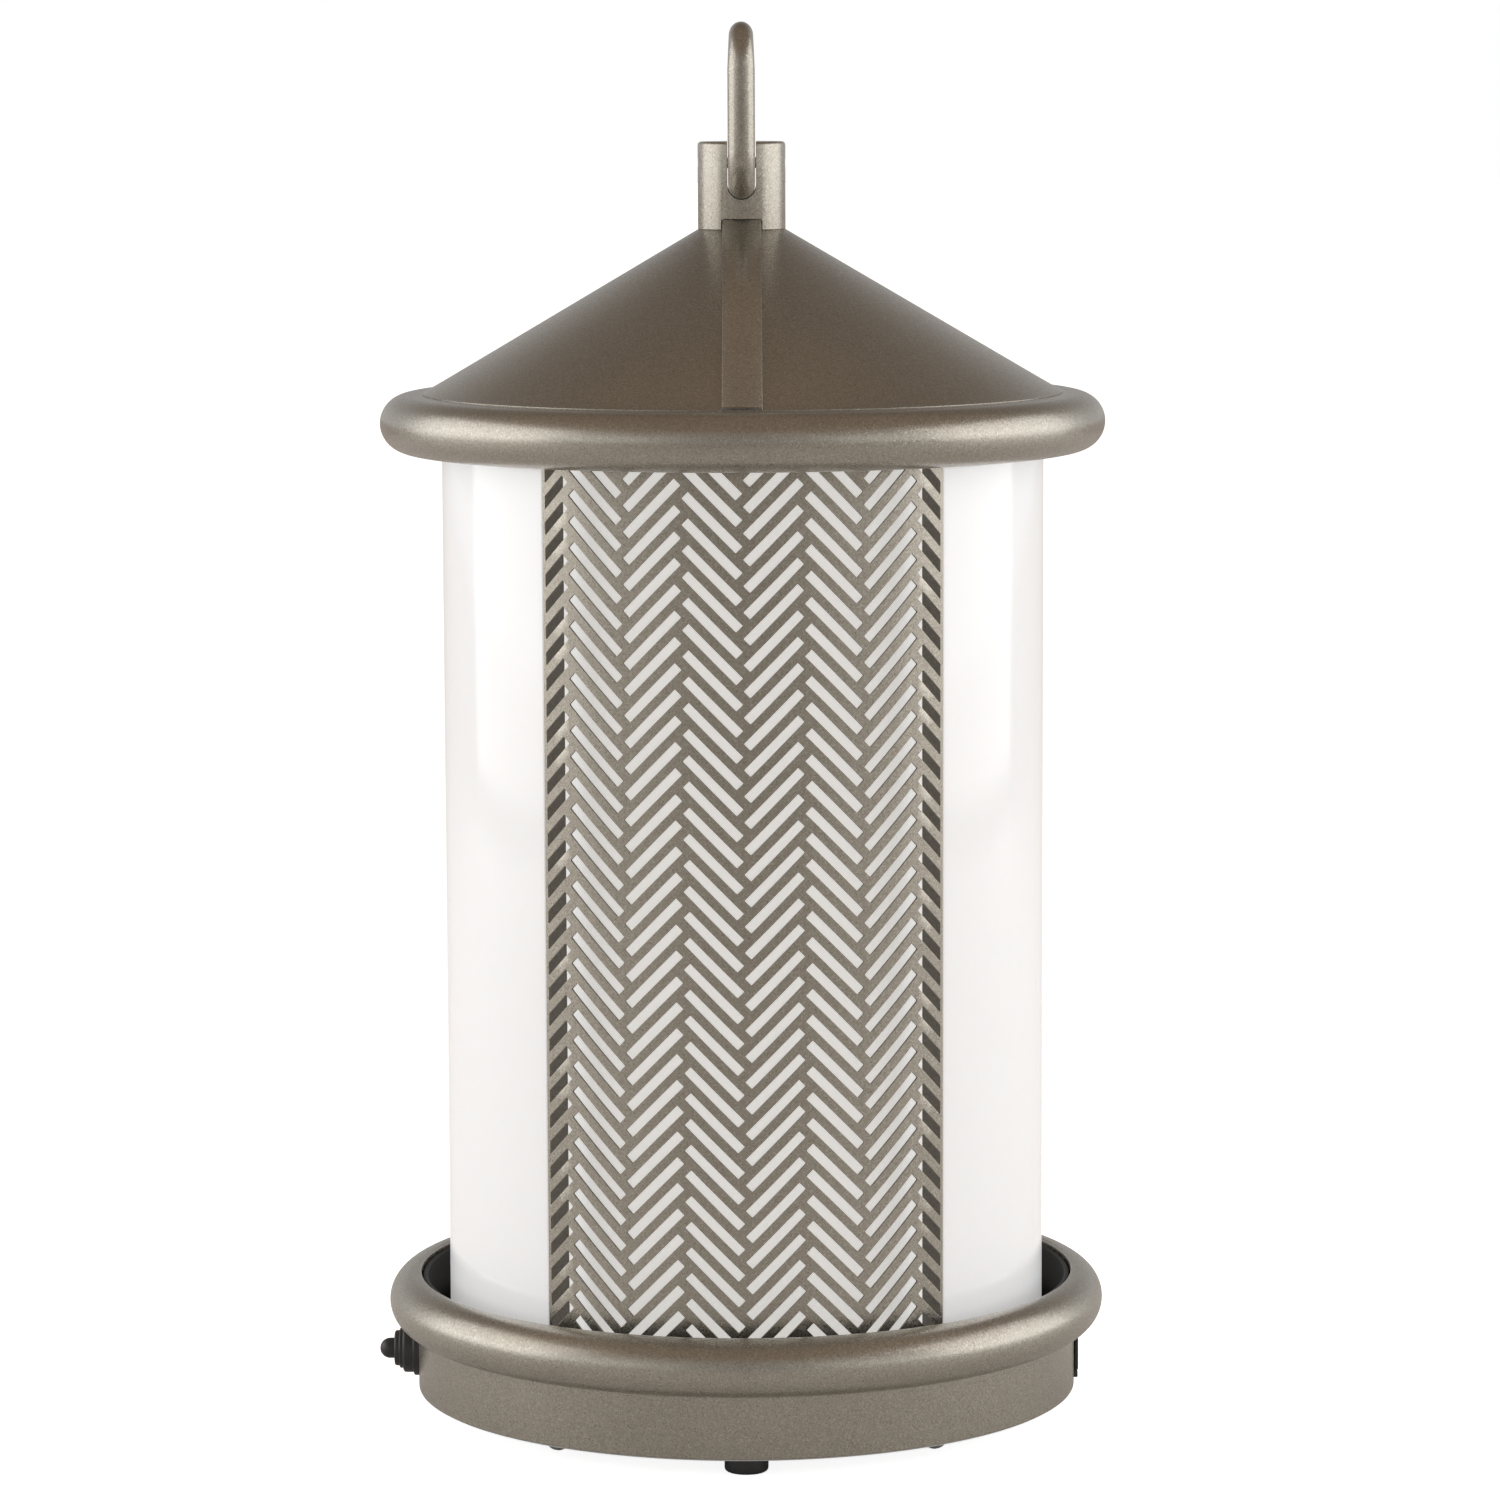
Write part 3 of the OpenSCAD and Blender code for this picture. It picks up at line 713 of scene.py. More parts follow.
PAINT = Finish(Slot.PAINT, FlakePaint(
    "champagne_paint", (0.375, 0.35, 0.298), (0.48, 0.454, 0.405), (0.28, 0.257, 0.215)).material())
# Darker flake paint, used as painted shadow on the slots' punched walls, the grille flanges' inner sides and the
# straps' sides and ends, where shade falls.
SHADOW_PAINT = FlakePaint(
    "thin_inner_paint", (0.16, 0.146, 0.125), (0.20, 0.185, 0.16), (0.12, 0.11, 0.095), roughness=0.5,
    tilt=0.04, coat=0.0).material()
RUBBER = Finish(Slot.RUBBER, Plain(
    "black_rubber", (0.026, 0.026, 0.028), roughness=0.42, grain=0.2, specular=0.55).material())
BLACK = Finish(Slot.BLACK, Plain(
    "black_moulding", (0.012, 0.0115, 0.010), roughness=0.45, grain=0.25, grain_scale=2200.0,
    specular=0.12).material())
CHROME = Finish(Slot.CHROME, Plain(
    "bright_plating", (0.40, 0.39, 0.375), roughness=0.22, metallic=1.0, grain=0.03).material())
ZINC = Finish(Slot.ZINC, Plain(
    "zinc_plate", (0.56, 0.57, 0.57), roughness=0.38, metallic=1.0, variation=0.10, grain=0.12,
    grain_scale=700.0).material())
WIRE = Finish(Slot.WIRE, Plain(
    "drawn_wire", (0.66, 0.66, 0.65), roughness=0.24, metallic=1.0, stretch=(1.0, 1.0, 0.05)).material())
# The shades' glow is painted light that keeps them evenly bright; their tone is lowered to go with it.
SHADE = Finish(Slot.SHADE, Plain(
    "opal_acrylic", (0.655, 0.66, 0.672), roughness=0.11, roughness_change=0.02, variation=0.006, grain=0.0,
    coat=0.12, subsurface=0.12, glow=(1.0, 1.0, 1.0), glow_strength=0.385).material())
# The liners' glow is painted light that brightens the white seen through the grilles' slots.
LINER = Finish(Slot.LINER, Plain(
    "white_sheet", (0.80, 0.80, 0.79), roughness=0.45, variation=0.01, glow=(1.0, 0.99, 0.97),
    glow_strength=0.45).material())
MOULDING = Finish(Slot.MOULDING, Plain(
    "white_moulding", (0.74, 0.74, 0.71), roughness=0.42, grain=0.15).material())
INSULATOR = Finish(Slot.INSULATOR, Plain(
    "glazed_insulator", (0.82, 0.82, 0.79), roughness=0.12, coat=0.5, variation=0.02).material())
TRAY = Finish(Slot.TRAY, Plain("tray_moulding", (0.20, 0.205, 0.21), roughness=0.5, grain=0.25).material())
LAMP_GLASS = Finish(Slot.LAMP, Plain(
    "phosphor_glass", (0.66, 0.62, 0.86), roughness=0.1, roughness_change=0.02, grain=0.0, transmission=0.35,
    coat=0.6, glow=(0.42, 0.36, 0.95), glow_strength=0.15).material())
BOARD = Finish(Slot.BOARD, Plain(
    "solder_mask", (0.02, 0.16, 0.06), roughness=0.22, coat=0.5, variation=0.12).material())
TAPE = Finish(Slot.TAPE, Plain(
    "amber_tape", (0.62, 0.38, 0.06), roughness=0.28, coat=0.3, variation=0.08).material())
FILM = Finish(Slot.FILM, Plain("dipped_film", (0.45, 0.10, 0.03), roughness=0.2, coat=0.6).material())
BATTERY = Finish(Slot.BATTERY, Plain(
    "shrink_wrap", (0.06, 0.15, 0.38), roughness=0.3, coat=0.3, variation=0.06).material())


def dress(obj: bpy.types.Object, material: bpy.types.Material) -> bpy.types.Object:
    """Gives a piece one material, without losing which faces take a second one."""
    if obj.data.materials:
        obj.data.materials[0] = material
    else:
        obj.data.materials.append(material)
    return obj


def hand_over(obj: bpy.types.Object, body: Body, finish: Finish, *nodes: str) -> None:
    """Dresses a finished piece and hands it to the frame.

    Args:
        obj: The finished piece.
        body: The body that it rides on.
        finish: The piece's material, and the slot that it shows.
        *nodes: CAD nodes that it stands for.
    """
    dress(obj, finish.material)
    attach(obj, body.value)
    if nodes:
        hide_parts(*nodes)
    LOG.info("%-22s %6d faces on %s", obj.name, len(obj.data.polygons), body.value)


def refinish(node: str, finish: Finish) -> None:
    """Gives a CAD node that stays a better material."""
    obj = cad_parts[node]
    obj.data.materials.clear()
    obj.data.materials.append(finish.material)
    LOG.info("%-22s keeps its CAD shape", node)


@dataclass
class Assembly:
    """A sub-assembly, with its sizes as fields and two tables that say how it is finished."""

    pieces: dict[str, bpy.types.Object] = field(default_factory=dict)
    dressing: ClassVar[Sequence[tuple]] = ()
    kept: ClassVar[Sequence[tuple[str, Finish]]] = ()

    def mesh(self) -> None:
        """Builds the meshes, where the sub-assembly has any of its own."""

    def dress(self) -> None:
        """Hands over each piece of the first table and refinishes each CAD node of the second."""
        for key, body, finish, *nodes in self.dressing:
            hand_over(self.pieces[key], body, finish, *nodes)
        for node, finish in self.kept:
            refinish(node, finish)


def spot(radius: float, azimuth: float) -> Point2:
    """Plan point at a radius and an azimuth, which is 0 at the front and 90 at the right."""
    turned = math.radians(azimuth)
    return radius * math.sin(turned), -radius * math.cos(turned)


def sector_outline(inner: float, outer: float, start: float, end: float, steps: int) -> list[Point2]:
    """Plan outline of a curved slab between two azimuths."""
    turns = [start + (end - start) * i / steps for i in range(steps + 1)]
    return [spot(outer, t) for t in turns] + [spot(inner, t) for t in reversed(turns)]


def along_x(obj: bpy.types.Object, height: float, side: int) -> bpy.types.Object:
    """Turns a lathed piece so that its axis runs out along X at a height.

    Args:
        obj: The piece, whose heights are distances from the object's axis.
        height: Height of the new axis in millimetres.
        side: 1 for the right and -1 for the left.

    Returns:
        The same piece.
    """
    return place(obj, shift(0, 0, height) @ turn(90 * side, "Y"))


# ---------------------------------------------------------------- base


@dataclass
class RolledBase(Assembly):
    """Base shell with its half-round bead, the black dish inside it, feet and screws, in millimetres."""

    skirt_radius: float = 109.3
    sheet: float = 1.2
    skirt_low: float = 6.6
    bead_radius: float = 9.3
    bead_height: float = 36.4
    hem_radius: float = 105.3
    hem_low: float = 8.0
    dish_radius: float = 107.6
    dish_wall: float = 1.7
    dish_low: float = 9.3
    dish_top: float = 44.5
    floor_low: float = 24.0
    floor_high: float = 26.0
    floor_bore: float = 20.0
    spigot: Corner = (77.0, 79.6, 34.0)
    switch_hole: Point2 = (5.6, 17.9)
    port_hole: Point2 = (4.2, 17.35)
    port_wall_hole: Point2 = (4.6, 17.35)
    foot_radius: float = 7.0
    foot_height: float = 6.0
    foot_stem: Point2 = (2.5, 8.0)
    foot_barb: Corner = (3.6, 2.2, 10.4)
    foot_circle: float = 96.0
    screw_circle: float = 100.0
    screw_azimuth: float = 37.0
    head_radius: float = 4.0
    head_height: float = 2.6
    head_rim: float = 0.6
    head_seat: float = 6.0
    cross: Corner = (2.1, 0.45, 1.6)
    shank: Point2 = (2.0, 22.0)
    post_bore: float = 2.1
    post_radius: float = 4.6
    post_low: float = 8.05
    dressing: ClassVar[Sequence[tuple]] = (
        ("shell", Body.BASE, PAINT, "base_shell"),
        ("dish", Body.BASE, BLACK, "base_deck", "deck_wall", "locating_ring"),
        ("feet", Body.BASE, RUBBER, "rubber_feet"),
        ("screws", Body.BASE, CHROME, "bottom_screws"),
    )
    kept: ClassVar[Sequence[tuple[str, Finish]]] = (("bottom_plate", ZINC),)

    def side_hole(self, radius: float, height: float, side: int) -> bpy.types.Object:
        """A cutter for a round hole through the base's side."""
        start, end = self.skirt_radius - 8, self.skirt_radius + 4
        cutter = lathe("hole", [(0, start), (radius, start), (radius, end), (0, end)], 48)
        return along_x(cutter, height, side)

    def shell(self) -> bpy.types.Object:
        """One sheet: hem, skirt, half-round bead and a short lip inside its top."""
        r, t, z = self.skirt_radius, self.sheet, self.bead_height
        low, high, inner = z - self.bead_radius, z + self.bead_radius, self.bead_radius - self.sheet
        outline = rounded([(self.hem_radius, self.hem_low), (r - t, self.hem_low), (r - t, self.skirt_low, 0.5),
                           (r, self.skirt_low, 0.5), (r, low, 0.7), (r + 1.6, low + 0.1)])
        outline += arc((r, z), self.bead_radius, -76, 88, 40)
        outline += rounded([(r, high), (r - t, high, 0.9), (r - t, high - 4, 0.3), (r, high - 4)], 6)
        outline += arc((r, z), inner, 85, -85, 30)
        outline += [(r - t, low + t), (r - t, self.hem_low + t), (self.hem_radius, self.hem_low + t)]
        shell = lathe("base_rolled_shell", outline, 288)
        return cut(shell, [self.side_hole(*self.switch_hole, -1), self.side_hole(*self.port_hole, 1)])

    def front_pair(self, name: str, piece: bpy.types.Object, finish: Finish) -> bpy.types.Object:
        """Copies of a piece at the two front screws."""
        azimuths = (-self.screw_azimuth, 2 * self.screw_azimuth, 2)
        return ring_of(name, piece, azimuths, self.screw_circle, finish.material)

    def dish(self) -> bpy.types.Object:
        """Black moulding: the dish's wall and floor, the spigot for the housing, and screw posts below."""
        r, inner = self.dish_radius, self.dish_radius - self.dish_wall
        a, b, top = self.spigot
        outline = rounded([(r, self.dish_low), (r, self.dish_top, 0.7), (inner, self.dish_top, 0.7),
                           (inner, self.floor_high, 2.5), (b, self.floor_high, 0.8), (b, top, 0.7), (a, top, 0.7),
                           (a, self.floor_high, 0.8), (self.floor_bore, self.floor_high),
                           (self.floor_bore, self.floor_low), (inner, self.floor_low), (inner, self.dish_low)])
        dish = lathe("dish", outline, 192)
        cut(dish, [self.side_hole(*self.switch_hole, -1), self.side_hole(*self.port_wall_hole, 1)])
        bore, radius, low, high = self.post_bore, self.post_radius, self.post_low, self.floor_low
        post = lathe("post", [(bore, low), (radius, low), (radius, high), (bore, high)], 32)
        front = self.front_pair("posts_front", post, BLACK)
        return joined("base_dish", [dish, front, rear_twin(front, "posts_rear")])

    def feet(self) -> bpy.types.Object:
        """Four turned rubber feet with a snap stem."""
        r, high = self.foot_radius, self.foot_height
        (stem, neck), (barb, tip, top) = self.foot_stem, self.foot_barb
        outline = rounded([(0, 0), (r, 0, 1.2), (r, high, 0.3), (stem, high), (stem, neck), (barb, neck),
                           (tip, top), (0, top)])
        return ring_of("base_feet", lathe("foot", outline, 56), (0, 90, 4), self.foot_circle, RUBBER.material)

    def screws(self) -> bpy.types.Object:
        """Four domed cross-head screws, heads down."""
        r, seat, (shank, end), (long, wide, deep) = self.head_radius, self.head_seat, self.shank, self.cross
        tip = seat - self.head_rim - self.head_height
        ball = (r * r + self.head_height ** 2) / (2 * self.head_height)
        half = math.degrees(math.asin(r / ball))
        outline = arc((0, tip + ball), ball, -90, -90 + half, 12)
        outline += rounded([(r, tip + self.head_height), (r, seat, 0.15), (shank, seat), (shank, end, 0.4),
                            (0, end)])
        screw = lathe("screw", outline, 40)
        slot = rounded([(-long, -wide, 0.2), (long, -wide, 0.2), (long, wide, 0.2), (-long, wide, 0.2)])
        cut(screw, [place(prism("slot", slot, tip - 1, tip + deep), turn(angle, "Z")) for angle in (0, 90)])
        front = self.front_pair("screws_front", screw, CHROME)
        return joined("base_screws", [front, rear_twin(front, "screws_rear")])

    def mesh(self) -> None:
        """Builds the base's meshes."""
        self.pieces = {"shell": self.shell(), "dish": self.dish(), "feet": self.feet(), "screws": self.screws()}


@dataclass
class PushSwitch(Assembly):
    """Rubber-booted push switch on the left of the base; distances from the object's axis in millimetres."""

    height: float = 17.9
    bezel_back: Point2 = (5.5, 108.4)
    flange: Point2 = (9.1, 111.0)
    step: Point2 = (8.1, 114.6)
    collar: Point2 = (6.7, 115.8)
    boot: Point2 = (5.9, 117.5)
    boot_back: Point2 = (5.45, 111.5)
    bore: float = 3.7
    stem: Point2 = (2.0, 106.0)
    dome_radius: float = 3.4
    dome_back: float = 113.6
    tip: float = 122.4
    dressing: ClassVar[Sequence[tuple]] = (
        ("bezel", Body.BASE, RUBBER, "switch_bezel"),
        ("boot", Body.BASE, RUBBER, "switch_boot"),
        ("button", Body.BUTTON, RUBBER, "switch_button"),
    )
    kept: ClassVar[Sequence[tuple[str, Finish]]] = (("switch_body", BLACK),)

    def turned(self, name: str, outline: Sequence[Point2]) -> bpy.types.Object:
        """A turned piece on the switch's axis."""
        return along_x(lathe(name, outline, 72), self.height, -1)

    def mesh(self) -> None:
        """Builds bezel, boot and button."""
        (r1, x1), (r2, x2), (r3, x3), (r4, x4) = self.flange, self.step, self.collar, self.boot
        (hole, back), (neck, neck_back) = self.bezel_back, self.boot_back
        bezel = rounded([(hole, back), (r1, back), (r1, x1, 0.9), (r2, x1, 0.3), (r2, x2, 1.0), (hole, x2)], 6)
        boot = rounded([(self.bore, neck_back), (neck, neck_back), (neck, x2), (r3, x2), (r3, x3, 0.7),
                        (r4, x3, 0.25), (r4, x4, 1.0), (self.bore, x4, 0.7)], 6)
        dome, step, (stem, end) = self.dome_radius, self.dome_back, self.stem
        button = [(0, end), (stem, end), (stem, step), (dome, step), *arc((0, self.tip - dome), dome, 0, 90, 14)]
        self.pieces = {"bezel": self.turned("switch_rubber_bezel", bezel),
                       "boot": self.turned("switch_rubber_boot", boot),
                       "button": self.turned("switch_rubber_button", button)}


@dataclass
class ChargePort(Assembly):
    """Rubber cover over the charging inlet, on the right of the base, in millimetres."""

    face: Point2 = (109.35, 110.5)
    half_width: float = 7.5
    low: float = 11.2
    height: float = 12.3
    corner: float = 2.5
    strip: Point2 = (8.6, 10.9)
    thumb: Corner = (2.5, 1.6, 0.4)
    dressing: ClassVar[Sequence[tuple]] = (
        ("cover", Body.FLAP, RUBBER, "port_cover"),
        ("strip", Body.BASE, RUBBER, "port_hinge_strip"),
    )
    kept: ClassVar[Sequence[tuple[str, Finish]]] = (("charge_socket", BLACK),)

    def upright(self, name: str, outline: Sequence[Point2], inner: float, outer: float) -> bpy.types.Object:
        """A flat piece facing right, from an outline of (y, z)."""
        return place(prism(name, outline, inner, outer), turn(90, "Z") @ turn(90, "X"))

    def mesh(self) -> None:
        """Builds the cover with its thumb notch, and the strip that it hinges on."""
        w, top = self.half_width, self.low + self.height
        inner, outer = self.face
        round_edge = (outer - inner) / 2
        pivot = self.low + round_edge
        leaf = self.upright("port_rubber_flap", rounded([(-w, pivot), (w, pivot), (w, top, self.corner),
                                                         (-w, top, self.corner)], 8), inner, outer)
        edge = lathe("edge", [(0, -w), (round_edge, -w), (round_edge, w), (0, w)], 20)
        place(edge, shift((inner + outer) / 2, 0, pivot) @ turn(90, "X"))
        half, drop_by, deep = self.thumb
        notch = self.upright("notch", rounded([(-half, top - drop_by, 0.7), (half, top - drop_by, 0.7),
                                               (half, top + 2), (-half, top + 2)]), outer - deep, outer + 2)
        low, high = self.strip
        strip = self.upright("port_rubber_hinge", rounded([(-w, low, 0.6), (w, low, 0.6), (w, high, 0.3),
                                                           (-w, high, 0.3)]), inner - 1.2, outer - 0.15)
        cover = joined("port_rubber_flap", [bevelled(cut(leaf, [notch]), 0.2, 2, 60), edge])
        self.pieces = {"cover": cover, "strip": bevelled(strip, 0.25)}


# ---------------------------------------------------------------- inside


@dataclass
class LampAndCage(Assembly):
    """UV lamp, its holder, and the live wire cage between two insulators, in millimetres."""

    tube_radius: float = 6.0
    leg: float = 8.5
    lamp_low: float = 50.0
    lamp_bend: float = 236.0
    cap_half: Point2 = (17.0, 10.0)
    neck_half: Point2 = (14.0, 7.5)
    pocket_gap: float = 0.2
    wire_radius: float = 0.8
    wire_count: int = 24
    inner_circle: float = 34.0
    outer_circle: float = 41.5
    wire_span: Point2 = (43.1, 288.9)
    post_circle: float = 46.0
    post_span: Point2 = (41.1, 290.9)
    dressing: ClassVar[Sequence[tuple]] = (
        ("lamp", Body.BASE, LAMP_GLASS, "uv_lamp"),
        ("holder", Body.BASE, MOULDING, "lamp_holder"),
        ("cap", Body.BASE, MOULDING, "lamp_cap"),
        ("lower", Body.BASE, INSULATOR, "lower_insulator"),
        ("upper", Body.BASE, INSULATOR, "upper_insulator"),
        ("posts", Body.BASE, MOULDING, "cage_posts"),
        ("inner", Body.BASE, WIRE, "inner_grid_wires"),
        ("outer", Body.BASE, WIRE, "outer_grid_wires"),
    )

    def lamp(self) -> bpy.types.Object:
        """Twin tube, bent over at the top."""
        path = [(-self.leg, self.lamp_low), *arc((0, self.lamp_bend), self.leg, 180, 0, 18),
                (self.leg, self.lamp_low)]
        rings = []
        for i, (x, z) in enumerate(path):
            back, ahead = path[max(i - 1, 0)], path[min(i + 1, len(path) - 1)]
            along = Vector((ahead[0] - back[0], 0, ahead[1] - back[1])).normalized()
            across = Vector((along.z, 0, -along.x))
            here, side = Vector((x, 0, z)), Vector((0, 1, 0))
            rings.append([(here + self.tube_radius * (math.cos(a) * across + math.sin(a) * side)) * MM
                          for a in (2 * math.pi * k / 32 for k in range(32))])
        return sweep("lamp_tubes", rings, closed=False)

    def block(self, name: str, half: Point2, low: float, high: float) -> bpy.types.Object:
        """A solid on the axis with rounded upright corners."""
        x, y = half
        return prism(name, rounded([(-x, -y, 3), (x, -y, 3), (x, y, 3), (-x, y, 3)]), low, high)

    def holder(self) -> bpy.types.Object:
        """Stepped holder with a pocket for the lamp's cap."""
        outline = rounded([(0, 19), (19.8, 19, 0.8), (19.8, 26), (27, 26), (27, 29, 1.0), (23, 29, 0.8),
                           (23, 40, 1.0), (0, 40)])
        x, y = self.cap_half
        pocket = self.block("pocket", (x + self.pocket_gap, y + self.pocket_gap), 32, 44)
        return cut(lathe("lamp_socket", outline, 96), [pocket])

    def cap(self) -> bpy.types.Object:
        """The lamp's moulded cap in two steps, and its two pins."""
        body = self.block("cap_body", self.cap_half, 32, 58)
        neck = self.block("cap_neck", self.neck_half, 57.9, 61)
        pins = [place(lathe("pin", rounded([(0, 24), (1.2, 24, 0.5), (1.2, 32.1), (0, 32.1)]), 20), shift(x, 0, 0))
                for x in (-5, 5)]
        return joined("lamp_base", [bevelled(body, 0.8, 3), bevelled(neck, 0.6, 3), *pins])

    def wires(self, name: str, circle: float) -> bpy.types.Object:
        """One cage of upright wires."""
        low, high = self.wire_span
        r = self.wire_radius
        wire = lathe("wire", [(0, low), (r, low), (r, high), (0, high)], 10)
        return ring_of(name, wire, (0, 360 / self.wire_count, self.wire_count), circle, WIRE.material)

    def mesh(self) -> None:
        """Builds the lamp and the cage."""
        low, high = self.post_span
        post = lathe("post", [(0, low), (2, low), (2, high), (0, high)], 24)
        lower = rounded([(20.4, 40), (46, 40), (49.2, 36.4, 0.2), (50, 37, 0.2), (49, 45, 0.8), (47, 46, 0.6),
                         (30, 48, 1.0), (20.4, 48, 0.8)])
        upper = rounded([(24, 286, 0.6), (49, 286, 0.8), (49, 293, 0.8), (30, 293, 0.4), (30, 296, 0.6),
                         (24, 296, 0.6)])
        self.pieces = {
            "lamp": self.lamp(), "holder": self.holder(), "cap": self.cap(),
            "lower": lathe("cage_foot", lower, 128), "upper": lathe("cage_head", upper, 128),
            "posts": ring_of("cage_stays", post, (60, 120, 3), self.post_circle, MOULDING.material),
            "inner": self.wires("cage_inner_wires", self.inner_circle),
            "outer": self.wires("cage_outer_wires", self.outer_circle)}


@dataclass
class CatchTray(Assembly):
    """Ring-shaped tray that dead insects fall into, in millimetres."""

    inner: float = 50.8
    outer: float = 75.0
    low: float = 26.3
    inner_top: float = 33.3
    outer_top: float = 38.0
    wall: float = 1.4
    dressing: ClassVar[Sequence[tuple]] = (("tray", Body.TRAY, TRAY, "catch_tray"),)

    def mesh(self) -> None:
        """Builds the tray with soft corners and a turned-in rim."""
        a, b, t, low, high = self.inner, self.outer, self.wall, self.low, self.outer_top
        self.pieces["tray"] = lathe("tray_dish", rounded([
            (a, low, 0.6), (b, low, 1.6), (b, high, 0.6), (b - 2 * t, high, 0.5), (b - 2 * t, high - t, 0.3),
            (b - t, high - t), (b - t, low + t, 1.2), (a + t, low + t, 1.2), (a + t, self.inner_top, 0.5),
            (a, self.inner_top, 0.5)]), 160)


@dataclass
class Electrics(Assembly):
    """Board, transformer, capacitors and battery under the dish, which keep their CAD shapes."""

    kept: ClassVar[Sequence[tuple[str, Finish]]] = (
        ("power_board", BOARD), ("board_spacers", MOULDING), ("hv_transformer", TAPE),
        ("hv_capacitors", FILM), ("battery_pack", BATTERY))


# ---------------------------------------------------------------- housing


